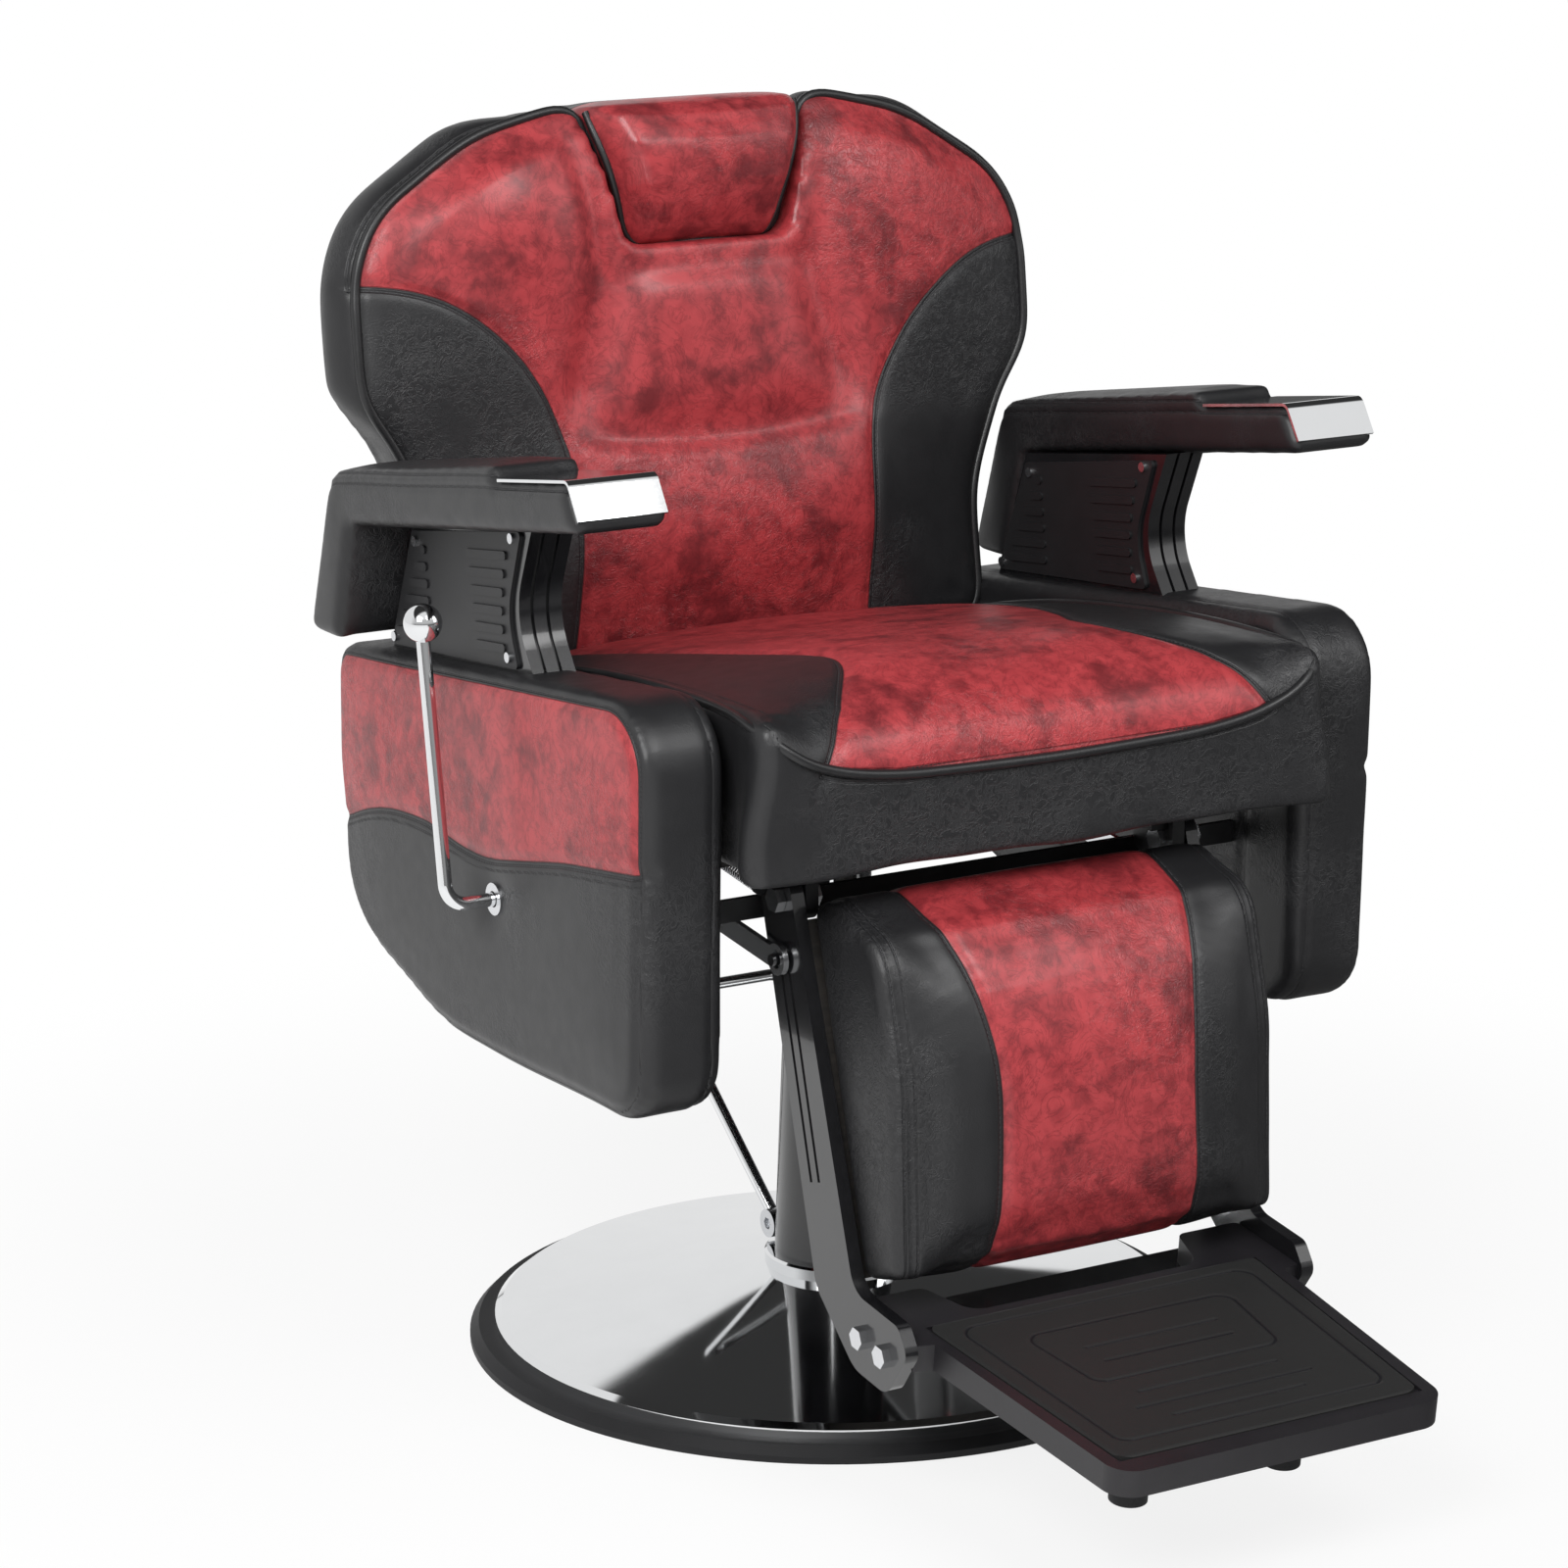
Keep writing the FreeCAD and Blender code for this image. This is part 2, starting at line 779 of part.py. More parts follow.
# Pump pedal: cross shaft, two clamps and a bent rod
def make_pedal():
    clamp_inner = "(pedal_boss_half + pedal_clamp_gap)"
    clamp_outer = f"({clamp_inner} + pedal_clamp_width)"
    keep(rod(
        "pedal_shaft", "X", "pedal_shaft_radius", f"2 * {clamp_inner}",
        f"-{clamp_inner}", "pedal_pivot_back", PEDAL_Z,
    ))
    clamps = []
    for side_name, side in SIDES.items():
        clamp = rod(
            f"clamp_{side_name}", "X", "pedal_boss_radius - pedal_clamp_gap", "pedal_clamp_width",
            start_of(side, clamp_inner, clamp_outer), "pedal_pivot_back", PEDAL_Z,
        )
        mouth = f"({clamp_outer} - pedal_socket_depth)"
        socket = hexagon(
            f"socket_{side_name}", "pedal_socket_flats", "pedal_socket_depth",
            start_of(side, mouth, clamp_outer), "pedal_pivot_back", PEDAL_Z,
        )
        clamps.append(cut(f"clamp_{side_name}_socket", clamp, socket))
    both_clamps = keep(group("pedal_clamps", clamps))
    foot_x = number(f"{clamp_inner} + pedal_clamp_width / 2")
    pivot = Vector(0, number("pedal_pivot_back"), number(PEDAL_Z))
    far = pivot + Vector(0, number("pedal_reach"), number("pedal_rise"))
    up = (far - pivot).normalize()
    in_clamp = number("pedal_boss_radius - 3 * pedal_clamp_gap")
    half = number("pedal_half_width")
    route = [
        pivot + Vector(-foot_x, 0, 0) + up * in_clamp,
        far + Vector(-half, 0, 0),
        far + Vector(half, 0, 0),
        pivot + Vector(foot_x, 0, 0) + up * in_clamp,
    ]
    bar = formed("pedal_bar", bent_bar(route, number("pedal_bend"), number("pedal_rod_radius")))
    keep(cut("pedal_rod", bar, both_clamps))


def bent_path(route, bend):
    """Straight runs joined by tangent arcs of one radius."""
    edges = []
    start = route[0]
    for before, corner, after in zip(route, route[1:], route[2:]):
        arriving = (corner - before).normalize()
        leaving = (after - corner).normalize()
        turn = arriving.getAngle(leaving)
        reach = bend * math.tan(turn / 2)
        rise = bend / math.cos(turn / 2) - bend
        middle = corner + (leaving - arriving).normalize() * rise
        edges.append(Part.LineSegment(start, corner - arriving * reach).toShape())
        start = corner + leaving * reach
        edges.append(Part.Arc(corner - arriving * reach, middle, start).toShape())
    edges.append(Part.LineSegment(start, route[-1]).toShape())
    return Part.Wire(edges)


def swept(path, centre, along, radius):
    """A round section carried along a path."""
    section = Part.Wire([Part.Circle(centre, along, radius).toShape()])
    return path.makePipeShell([section], True, False)


def bent_bar(route, bend, radius):
    """A round bar along a bent route."""
    path = bent_path(route, bend)
    return swept(path, route[0], route[1] - route[0], radius)


# Swivel socket and the seat frame that it carries
def make_seat_frame():
    swivel_outer = "(stub_radius + swivel_wall)"
    swivel_bore = "(stub_radius + running_fit)"
    swivel_foot = "(ram_shoulder + swivel_gap)"
    keep(turned("swivel_socket", [
        (swivel_bore, swivel_foot),
        (swivel_outer, swivel_foot),
        (swivel_outer, SWIVEL_TOP),
        ("0", SWIVEL_TOP),
        ("0", STUB_TOP),
        (swivel_bore, STUB_TOP),
    ]))
    keep(block(
        "seat_mount_plate",
        (f"-{RAIL_OUTER}", "-mount_plate_half_length", SWIVEL_TOP),
        (RAIL_OUTER, "mount_plate_half_length", RAIL_FOOT),
    ))
    pivot_bore = "(pivot_radius + running_fit)"
    for side_name, side in SIDES.items():
        rail = block(
            f"rail_bar_{side_name}",
            (start_of(side, "rail_inner", RAIL_OUTER), "rail_front", RAIL_FOOT),
            (start_of(side, RAIL_OUTER, "rail_inner"), "rail_back", RAIL_TOP),
        )
        bore = rod(
            f"rail_bore_{side_name}", "X", pivot_bore, "rail_width",
            start_of(side, "rail_inner", RAIL_OUTER), BACK_Y, BACK_Z,
        )
        keep(cut(f"seat_rail_{side_name}", rail, bore))
    outriggers = []
    for side_name, side in SIDES.items():
        outriggers.append(block(
            f"outrigger_{side_name}",
            (start_of(side, RAIL_OUTER, "panel_inner"), "outrigger_front", f"{RAIL_FOOT} + 1"),
            (start_of(side, "panel_inner", RAIL_OUTER), "outrigger_front + outrigger_width",
             f"{RAIL_FOOT} + 1 + outrigger_height"),
        ))
    keep(group("rear_outriggers", outriggers))
    bar_back = f"({LEG_Y} + leg_plate_length * 0.7 + bar_thickness)"
    bar_top = f"({RAIL_FOOT} - bar_drop)"
    keep(block(
        "front_cross_bar",
        ("-panel_inner", f"{bar_back} - bar_thickness", f"{bar_top} - bar_height"),
        ("panel_inner", bar_back, bar_top),
    ))
    make_hinge_plates(pivot_bore)
    make_pivot_bolts()
    keep(block(
        "seat_board",
        ("-board_half_width", "board_front", RAIL_TOP),
        ("board_half_width", "seat_back", BOARD_TOP),
    ))


def make_hinge_plates(pivot_bore):
    """Plates on the outer faces of the rails: one pair for the legs, one for the back."""
    leg_plates = []
    back_plates = []
    for side_name, side in SIDES.items():
        start = start_of(side, RAIL_OUTER, PLATE_OUTER)
        low = f"({RAIL_FOOT} - leg_plate_drop)"
        front = f"({LEG_Y} - leg_plate_length * 0.3)"
        back = f"({LEG_Y} + leg_plate_length * 0.7)"
        leg_plates.append(prism(
            f"leg_hinge_plate_{side_name}", "YZ_Plane",
            [(front, low), (back, low), (back, RAIL_TOP), (front, RAIL_TOP)],
            start, "hinge_plate", [("leg_plate_length / 5", (0, 1))], [(LEG_Y, LEG_Z, pivot_bore)],
        ))
        low = f"({BACK_Z} - back_plate_half)"
        high = f"({BACK_Z} + back_plate_half)"
        front = f"({BACK_Y} - back_plate_half)"
        back = f"({BACK_Y} + back_plate_half)"
        back_plates.append(prism(
            f"back_hinge_plate_{side_name}", "YZ_Plane",
            [(front, low), (back, low), (back, high), (front, high)],
            start, "hinge_plate", [("back_plate_half / 2", (0, 1, 2, 3))], [(BACK_Y, BACK_Z, pivot_bore)],
        ))
    keep(group("leg_hinge_plates", leg_plates))
    keep(group("back_hinge_plates", back_plates))


def make_pivot_bolts():
    """Hexagon bolts, each with its nut, that the leg rest and the back turn on."""
    leg_bolts = []
    back_bolts = []
    for side_name, side in SIDES.items():
        nut_inner = f"({RAIL_OUTER} - leg_nut_height)"
        head_inner = f"({LEG_ARM_OUTER} + moving_gap)"
        head_outer = f"({head_inner} + leg_head_height)"
        leg_bolts.append(fuse(
            f"leg_bolt_{side_name}",
            hexagon(f"leg_nut_{side_name}", "leg_bolt_flats", "leg_nut_height",
                    start_of(side, nut_inner, RAIL_OUTER), LEG_Y, LEG_Z),
            rod(f"leg_shank_{side_name}", "X", "pivot_radius", f"{head_outer} - {nut_inner}",
                start_of(side, nut_inner, head_outer), LEG_Y, LEG_Z),
            hexagon(f"leg_head_{side_name}", "leg_bolt_flats", "leg_head_height",
                    start_of(side, head_inner, head_outer), LEG_Y, LEG_Z),
        ))
        nut_inner = "(rail_inner - leg_nut_height)"
        head_inner = f"({UPRIGHT_OUTER} + moving_gap)"
        head_outer = f"({head_inner} + back_head_height)"
        back_bolts.append(fuse(
            f"back_bolt_{side_name}",
            hexagon(f"back_nut_{side_name}", "back_bolt_flats", "leg_nut_height",
                    start_of(side, nut_inner, "rail_inner"), BACK_Y, BACK_Z),
            rod(f"back_shank_{side_name}", "X", "pivot_radius", f"{head_outer} - {nut_inner}",
                start_of(side, nut_inner, head_outer), BACK_Y, BACK_Z),
            hexagon(f"back_head_{side_name}", "back_bolt_flats", "back_head_height",
                    start_of(side, head_inner, head_outer), BACK_Y, BACK_Z),
        ))
    keep(group("leg_pivot_bolts", leg_bolts))
    keep(group("back_pivot_bolts", back_bolts))


# Seat cushion: a boxed skirt, a crowned top and a front edge that rolls over
def seat_section(x, corner, crown, drawn_in):
    """One upright slice of the cushion, from the skirt's hem to the top.

    Corner runs from 0, where the front rolls over, to 1, where it ends in a boxed corner.
    """
    hem = number(BOARD_TOP)
    front = number("seat_front") + drawn_in
    rear = number("seat_back") - drawn_in
    side_top = hem + number("seat_side_rise") - drawn_in
    rear_top = hem + number("seat_rear_rise") + crown - drawn_in
    middle = hem + number("seat_middle_rise") + crown - drawn_in
    roll = number("seat_waterfall") * (1 - corner) + number("seat_edge_round") * corner
    drop = number("seat_front_drop") * (1 - corner) + number("seat_edge_drop") * corner
    top_front = side_top + crown * (1 - corner) / 2
    quarter = math.sqrt(0.5)
    edge = side_top - drop
    roll_middle = Vector(x, front + roll * (1 - quarter), edge + (top_front - edge) * quarter)
    start = Vector(x, front, hem)
    foot = Vector(x, rear, hem)
    back = Vector(x, rear, rear_top)
    top = Vector(x, front + roll, top_front)
    nose = Vector(x, front, edge)
    return Part.Wire([
        Part.LineSegment(start, foot).toShape(),
        Part.LineSegment(foot, back).toShape(),
        Part.Arc(back, Vector(x, (rear + front + roll) / 2, middle), top).toShape(),
        Part.Arc(top, roll_middle, nose).toShape(),
        Part.LineSegment(nose, start).toShape(),
    ])


def make_seat_cushion():
    half = number("seat_half_width")
    crown = number("seat_crown")
    drawn_in = number("seat_drawn_in")
    inner = half - number("seat_front_corner")
    shoulder = half - drawn_in
    stations = [(half, 1, 0, drawn_in), (shoulder, 1, 0, 0)]
    for share in (0.3, 0.65, 1):
        x = shoulder - share * (shoulder - inner)
        stations.append((x, 1 - share, crown * 0.35 * share, 0))
    for share in (0.8, 0.6, 0.4, 0.2, 0):
        stations.append((inner * share, 0, crown * (1 - 0.65 * share ** 2), 0))
    mirrored = [(-x, corner, rise, inset) for x, corner, rise, inset in stations]
    wires = [seat_section(*station) for station in mirrored + stations[-2::-1]]
    keep(formed("seat_cushion", Part.makeLoft(wires, True, True)))


# Side panels: upholstered boards with a drawn-in edge
def make_side_panels():
    fall = "tan(panel_fall * 1 deg)"
    corners = values([
        ("panel_front + 13", "panel_bottom", "48"),
        ("panel_foot_back", "panel_bottom", "300"),
        ("panel_heel_back", "panel_bottom + panel_heel_rise", "96"),
        ("panel_back", "panel_bottom + 200", "120"),
        ("panel_back - 4", f"panel_top - panel_back * {fall}", "22"),
        ("panel_front", f"panel_top - panel_front * {fall}", "54"),
    ])
    inner = number("panel_inner")
    outer = number(PANEL_OUTER)
    edge = number("panel_edge")
    crown = number("panel_crown")
    stations = [
        (inner, edge),
        (inner + edge, 0),
        (outer - edge, 0),
        (outer - crown / 2, edge * 0.7),
        (outer + crown, edge * 5),
    ]
    lever_hole = rod(
        "panel_lever_hole", "X", "lever_radius + lever_hole_gap", "2 * panel_thickness",
        f"-{PANEL_OUTER} - panel_thickness / 2", "lever_pivot_back", LEVER_Z,
    )
    for side_name, side in SIDES.items():
        placed = [(side * x, inset) for x, inset in stations]
        shape = padded_between(corners, placed)
        if side < 0:
            board = formed("side_panel_board", shape)
            keep(cut(f"side_panel_{side_name}", board, lever_hole))
        else:
            keep(formed(f"side_panel_{side_name}", shape))


# Armrests: frame, two louvred covers, screws, pad and bright cap
def underside(y):
    """Height of the armrest's underside, which rises to the front."""
    return f"(arm_underside - ({y}) * tan(arm_pitch * 1 deg))"


def arm_top(y):
    """Height of the armrest's flat top."""
    return f"({underside(y)} + arm_pad_depth)"


def panel_top(y):
    """Height of a side panel's top edge."""
    return f"(panel_top - ({y}) * tan(panel_fall * 1 deg))"


def arm_share(y, share):
    """A height between the panel's top and the armrest's underside."""
    return f"({panel_top(y)} + {share} * ({underside(y)} - {panel_top(y)}))"


def make_arm_frames():
    corners = [
        ("frame_nose_foot", f"{panel_top('frame_nose_foot')} + arm_gap"),
        ("frame_heel_foot", f"{panel_top('frame_heel_foot')} + arm_gap"),
        ("frame_heel_top", f"{underside('frame_heel_top')} - arm_gap"),
        ("frame_nose_top", f"{underside('frame_nose_top')} - arm_gap"),
        ("frame_waist", arm_share("frame_waist", "frame_waist_share")),
    ]
    ahead = "(frame_nose_top - 3 * cover_inset)"
    flute_corners = [
        ("frame_nose_foot + flute_depth", f"{panel_top('frame_nose_foot')} - cover_inset"),
        ("frame_waist + flute_depth", arm_share("frame_waist", "frame_waist_share")),
        ("frame_nose_top + flute_depth", f"{underside('frame_nose_top')} + cover_inset"),
        (ahead, f"{underside('frame_nose_top')} + cover_inset"),
        (ahead, f"{panel_top('frame_nose_foot')} - cover_inset"),
    ]
    for side_name, side in SIDES.items():
        body = prism(
            f"arm_frame_{side_name}_body", "YZ_Plane", corners,
            start_of(side, "arm_frame_inner", ARM_FRAME_OUTER), "arm_frame_width",
            [("arm_frame_width * 1.5", (4,))],
        )
        flutes = []
        for index, share in enumerate((0.3, 0.66)):
            near = f"(arm_frame_inner + {share} * arm_frame_width)"
            flutes.append(prism(
                f"arm_frame_{side_name}_flute_{index}", "YZ_Plane", flute_corners,
                start_of(side, near, f"({near} + flute_width)"), "flute_width",
                [("arm_frame_width * 1.5", (1,))],
            ))
        keep(cut(f"arm_frame_{side_name}", body, *flutes))


def cover_corners():
    """Corners of a cover plate, set in from the arm frame's edges."""
    return [
        ("frame_nose_foot + 3 * cover_inset", f"{panel_top('frame_nose_foot')} + cover_inset / 2"),
        ("frame_heel_foot - cover_inset / 2", f"{panel_top('frame_heel_foot')} + cover_inset"),
        ("frame_heel_top - cover_inset / 2", f"{underside('frame_heel_top')} - cover_inset"),
        ("frame_nose_top + cover_inset * 2", f"{underside('frame_nose_top')} - cover_inset"),
        ("frame_waist + cover_inset", arm_share("frame_waist", "frame_waist_share")),
    ]


def rib_ends():
    """Front end, rear end and height share of each louvre, in a front and a rear column."""
    columns = [[], []]
    for level in range(RIB_ROWS):
        share = f"(rib_first_share + {level} * rib_pitch_share)"
        bow = f"(rib_front - rib_bow * ({share} - frame_waist_share) ^ 2)"
        columns[0].append((bow, f"(rib_middle + rib_middle_spread * {share})", share))
        columns[1].append((
            f"(rib_back + rib_back_spread * {share})", f"(rib_heel - rib_heel_spread * {share})", share))
    return columns


def make_covers():
    screws = []
    corners = cover_corners()
    for side_name, side in SIDES.items():
        faces = {
            "outer": (ARM_FRAME_OUTER, f"({ARM_FRAME_OUTER} + cover_plate)", 1),
            "inner": ("(arm_frame_inner - cover_plate)", "arm_frame_inner", -1),
        }
        covers = []
        for face_name, (near, far, outward) in faces.items():
            label = f"arm_cover_{face_name}_{side_name}"
            plate = prism(
                f"{label}_plate", "YZ_Plane", corners, start_of(side, near, far), "cover_plate",
                [("cover_inset / 2", (0, 1, 2, 3)), ("arm_frame_width * 1.5", (4,))],
            )
            surface = far if outward > 0 else near
            rib_low = surface if outward > 0 else f"({surface} - rib_height)"
            rib_high = f"({rib_low} + rib_height)"
            ribs = []
            for column, ends in enumerate(rib_ends()):
                for level, (front, rear, share) in enumerate(ends):
                    rib_corners = [
                        (front, f"{arm_share(front, share)} - rib_width / 2"),
                        (rear, f"{arm_share(rear, share)} - rib_width / 2"),
                        (rear, f"{arm_share(rear, share)} + rib_width / 2"),
                        (front, f"{arm_share(front, share)} + rib_width / 2"),
                    ]
                    ribs.append(prism(
                        f"{label}_rib_{column}_{level}", "YZ_Plane", rib_corners,
                        start_of(side, rib_low, rib_high), "rib_height",
                        [("rib_width * 0.45", (0, 1, 2, 3))],
                    ))
            covers.append(fuse(label, plate, *ribs))
            head_low = surface if outward > 0 else f"({surface} - screw_head)"
            head_high = f"({head_low} + screw_head)"
            for index, (y, z) in enumerate(corners[:4]):
                inward_y = "+ 2 * cover_inset" if index in (0, 3) else "- cover_inset"
                inward_z = "+ cover_inset" if index in (0, 1) else "- cover_inset"
                screws.append(rod(
                    f"{label}_screw_{index}", "X", "screw_radius", "screw_head",
                    start_of(side, head_low, head_high), f"{y} {inward_y}", f"{z} {inward_z}",
                ))
        keep(group(f"arm_covers_{side_name}", covers))
    keep(group("cover_screws", screws))


def cap_inside(depth):
    """The cap's bend and its lower end, a depth inside its outer face."""
    bend = ("cap_bend + 0.5 * " + depth, f"{arm_top('cap_bend')} - 1.085 * {depth}")
    low = ("cap_front + 0.845 * " + depth, f"{arm_top('cap_bend')} - cap_fall - 0.535 * {depth}")
    return bend, low


def arm_pad_corners():
    """Side outline of an armrest pad, anticlockwise from the nose's lower corner."""
    inner_bend, inner_low = cap_inside("1.05 * cap_wall")
    return values([
        ("arm_pad_front + 10", underside("arm_pad_front + 10"), "8"),
        ("arm_leg_front_top", underside("arm_leg_front_top"), "10"),
        ("arm_leg_front_foot", "arm_leg_foot", "8"),
        ("arm_leg_back_foot", "arm_leg_foot", "10"),
        ("arm_leg_back_top", f"{arm_top('arm_leg_back_top')} + arm_pad_crown / 2", "28"),
        ("arm_pad_step + 10", f"{arm_top('arm_pad_step')} + arm_pad_crown", "6"),
        ("arm_pad_step", f"{arm_top('arm_pad_step')} - 1.05 * cap_wall", "2"),
        (*inner_bend, "9"),
        (*inner_low, "2"),
        ("arm_pad_front", f"{arm_top('cap_bend')} - cap_fall - cap_wall * 2", "5"),
    ])


def make_arm_pads():
    inner = number("arm_pad_inner")
    outer = number(ARM_PAD_OUTER)
    edge = number("arm_pad_edge")
    stations = [(inner, edge), (inner + edge, 0), (outer - edge, 0), (outer, edge)]
    inner_bend, inner_low = cap_inside("cap_wall")
    cap_corners = [
        inner_low,
        inner_bend,
        ("arm_pad_step - 1", f"{arm_top('arm_pad_step - 1')} - cap_wall"),
        ("arm_pad_step - 1", arm_top("arm_pad_step - 1")),
        ("cap_bend", arm_top("cap_bend")),
        ("cap_front", f"{arm_top('cap_bend')} - cap_fall"),
    ]
    for side_name, side in SIDES.items():
        placed = [(side * x, inset) for x, inset in stations]
        keep(formed(f"armrest_pad_{side_name}", padded_between(arm_pad_corners(), placed)))
        keep(prism(
            f"armrest_cap_{side_name}", "YZ_Plane", cap_corners,
            start_of(side, "arm_pad_inner + cap_margin", f"{ARM_PAD_OUTER} - cap_margin"),
            "arm_pad_width - 2 * cap_margin", [("4 * cap_wall", (4,)), ("3 * cap_wall", (1,))],
        ))


# Recline lever on the sitter's right
def make_lever():
    keep(rod_ring(
        "lever_escutcheon", "escutcheon_radius", "lever_radius + lever_hole_gap",
        f"({PANEL_OUTER} + panel_crown)", "escutcheon_height",
    ))
    pivot_y = number("lever_pivot_back")
    pivot_z = number(LEVER_Z)
    reach = number(LEVER_REACH)
    top = Vector(-reach, pivot_y + number("lever_lean"), pivot_z + number("lever_rise"))
    route = [
        Vector(-number("lever_inner"), pivot_y, pivot_z),
        Vector(-reach, pivot_y, pivot_z),
        top,
    ]
    keep(formed("lever_rod", bent_bar(route, number("lever_bend"), number("lever_radius"))))
    ball = doc.addObject("Part::Sphere", "knob_ball")
    bind(ball, "Radius", "knob_radius")
    rise = "knob_radius * 0.9"
    place(ball, f"-{LEVER_REACH}", "lever_pivot_back + lever_lean",
          f"{LEVER_Z} + lever_rise + {rise}")
    seat = formed("knob_seat", swept(
        Part.Wire([Part.LineSegment(route[1], top).toShape()]), route[1], top - route[1],
        number("lever_radius"),
    ))
    keep(cut("lever_knob", ball, seat))
    bracket_outer = "(bracket_inner + bracket_thickness)"
    keep(prism(
        "lever_bracket", "YZ_Plane",
        [
            ("lever_pivot_back - bracket_half", f"{LEVER_Z} - bracket_half"),
            ("lever_pivot_back + bracket_half", f"{LEVER_Z} - bracket_half"),
            ("lever_pivot_back + bracket_half", RAIL_TOP),
            ("lever_pivot_back - bracket_half", RAIL_TOP),
        ],
        f"-{bracket_outer}", "bracket_thickness", [("bracket_half * 0.9", (0, 1))],
        [("lever_pivot_back", LEVER_Z, "lever_radius + running_fit")],
    ))
    cam_start = "-(lever_inner + cam_width + 2)"
    cam = rod("cam_boss", "X", "cam_radius", "cam_width", cam_start,
              "lever_pivot_back", LEVER_Z)
    finger = block(
        "cam_finger",
        (cam_start, "lever_pivot_back", f"{LEVER_Z} - cam_reach"),
        ("-(lever_inner + 2)", "lever_pivot_back + cam_radius", LEVER_Z),
    )
    shaft = rod("cam_bore", "X", "lever_radius", "cam_width", cam_start,
                "lever_pivot_back", LEVER_Z)
    keep(cut("release_cam", fuse("cam_solid", cam, finger), shaft))


def rod_ring(label, outer, inner, start, height):
    """A flat ring round the lever's shaft, on the outside of the right panel."""
    far = f"-({start} + {height})"
    body = rod(f"{label}_disc", "X", outer, height, far, "lever_pivot_back", LEVER_Z)
    hole = rod(f"{label}_hole", "X", inner, height, far, "lever_pivot_back", LEVER_Z)
    return cut(label, body, hole)


# Backrest: cushion with its notch and creases, board, uprights with their cranks, guide
def back_corners():
    """Front outline of the backrest, anticlockwise from the lower right corner."""
    right = [
        ("back_bottom_half", "-back_skirt", "28"),
        ("back_waist_half", "back_waist_height", "150"),
        ("back_shoulder_half", "back_shoulder_low", "110"),
        ("back_shoulder_half", "back_shoulder_high", "120"),
        ("back_crest_half", "back_crest_height", "140"),
        ("back_top_half", BACK_TOP, "60"),
    ]
    left = [(f"-{x}", z, radius) for x, z, radius in reversed(right)]
    return values(right + left)


def notch_corners(gap):
    """The headrest's notch, a trapezoid open at the top, made larger by a gap."""
    rise = 40
    foot = f"({BACK_TOP} - notch_depth - {gap})"
    spread = f"(notch_top_half + {gap} + (notch_top_half - notch_bottom_half) * {rise} / notch_depth)"
    low = f"(notch_bottom_half + {gap})"
    high = f"({BACK_TOP} + {rise})"
    return values([
        (low, foot, "22"),
        (spread, high, "2"),
        (f"-{spread}", high, "2"),
        (f"-{low}", foot, "22"),
    ])


def make_back():
    corners = back_corners()
    thick = number("back_thickness")
    crown = number("back_crown")
    stations = [
        (thick, 8),
        (thick - 10, 0),
        (8, 0),
        (0, 4),
        (-crown * 0.55, 28),
        (-crown * 0.88, 62),
        (-crown, 100),
    ]
    wires = [outline_wire(rounded(corners, inset), at_depth(depth)) for depth, inset in stations]
    cushion = Part.makeLoft(wires, True, True)
    through = Vector(0, thick + 4 * crown, 0)
    notch = extruded(rounded(notch_corners(0)), at_depth(-2 * crown), through)
    crease_half = number("crease_half")
    height = number("crease_height")
    width = number("crease_width")
    front = -crown - width * 0.35
    creases = [
        Part.makeCylinder(width, 2 * crease_half, Vector(-crease_half, front, height), Vector(1, 0, 0)),
    ]
    for side in SIDES.values():
        foot = Vector(side * crease_half, front, height)
        creases.append(Part.makeCylinder(width, height * 0.66, foot, Vector(-side * 0.1, 0.04, 1)))
        creases.append(Part.makeSphere(width, foot))
    cushion = cushion.cut([notch] + creases)
    keep(formed("backrest_cushion", cushion, BACK_FRAME))
    margin = number("back_board_margin")
    board = extruded(rounded(corners, margin), at_depth(thick), Vector(0, number("back_board"), 0))
    wide_notch = extruded(
        rounded(notch_corners("2 * notch_gap")), at_depth(thick - 1), Vector(0, 3 * thick, 0),
    )
    keep(formed("backrest_board", board.cut(wide_notch), BACK_FRAME))


def back_local(dy, dz):
    """Depth and height in the backrest's frame of a point at dy, dz from its pivot."""
    tilt = "back_tilt * 1 deg"
    depth = f"((back_ahead + ({dy})) * cos({tilt}) - (({dz}) - back_rise) * sin({tilt}))"
    height = f"((back_ahead + ({dy})) * sin({tilt}) + (({dz}) - back_rise) * cos({tilt}))"
    return depth, height


def make_uprights():
    depth, height = back_local("0", "0")
    crank = back_local(
        "crank_radius * cos(crank_angle * 1 deg)", "-crank_radius * sin(crank_angle * 1 deg)",
    )
    corners = [
        (f"{depth} - 18", f"{height} - 32"),
        (f"{depth} + 28", f"{height} - 32"),
        (f"{BOARD_FACE} + upright_width", "-40"),
        (f"{BOARD_FACE} + upright_width", "upright_top"),
        (BOARD_FACE, "upright_top"),
        (BOARD_FACE, "-14"),
        (f"{depth} - 18", f"{height} + 12"),
    ]
    for side_name, side in SIDES.items():
        bar = prism(
            f"upright_bar_{side_name}", "YZ_Plane", corners,
            start_of(side, "upright_inner", UPRIGHT_OUTER), "upright_thickness",
            [("14", (0, 1)), ("25", (2,)), ("10", (3, 6))],
            [(depth, height, "pivot_radius + running_fit")],
        )
        stud = rod(
            f"crank_stud_{side_name}", "X", "stud_radius", "stud_end - upright_inner",
            start_of(side, "upright_inner", "stud_end"), *crank,
        )
        keep(lean_back(fuse(f"back_upright_{side_name}", bar, stud)))


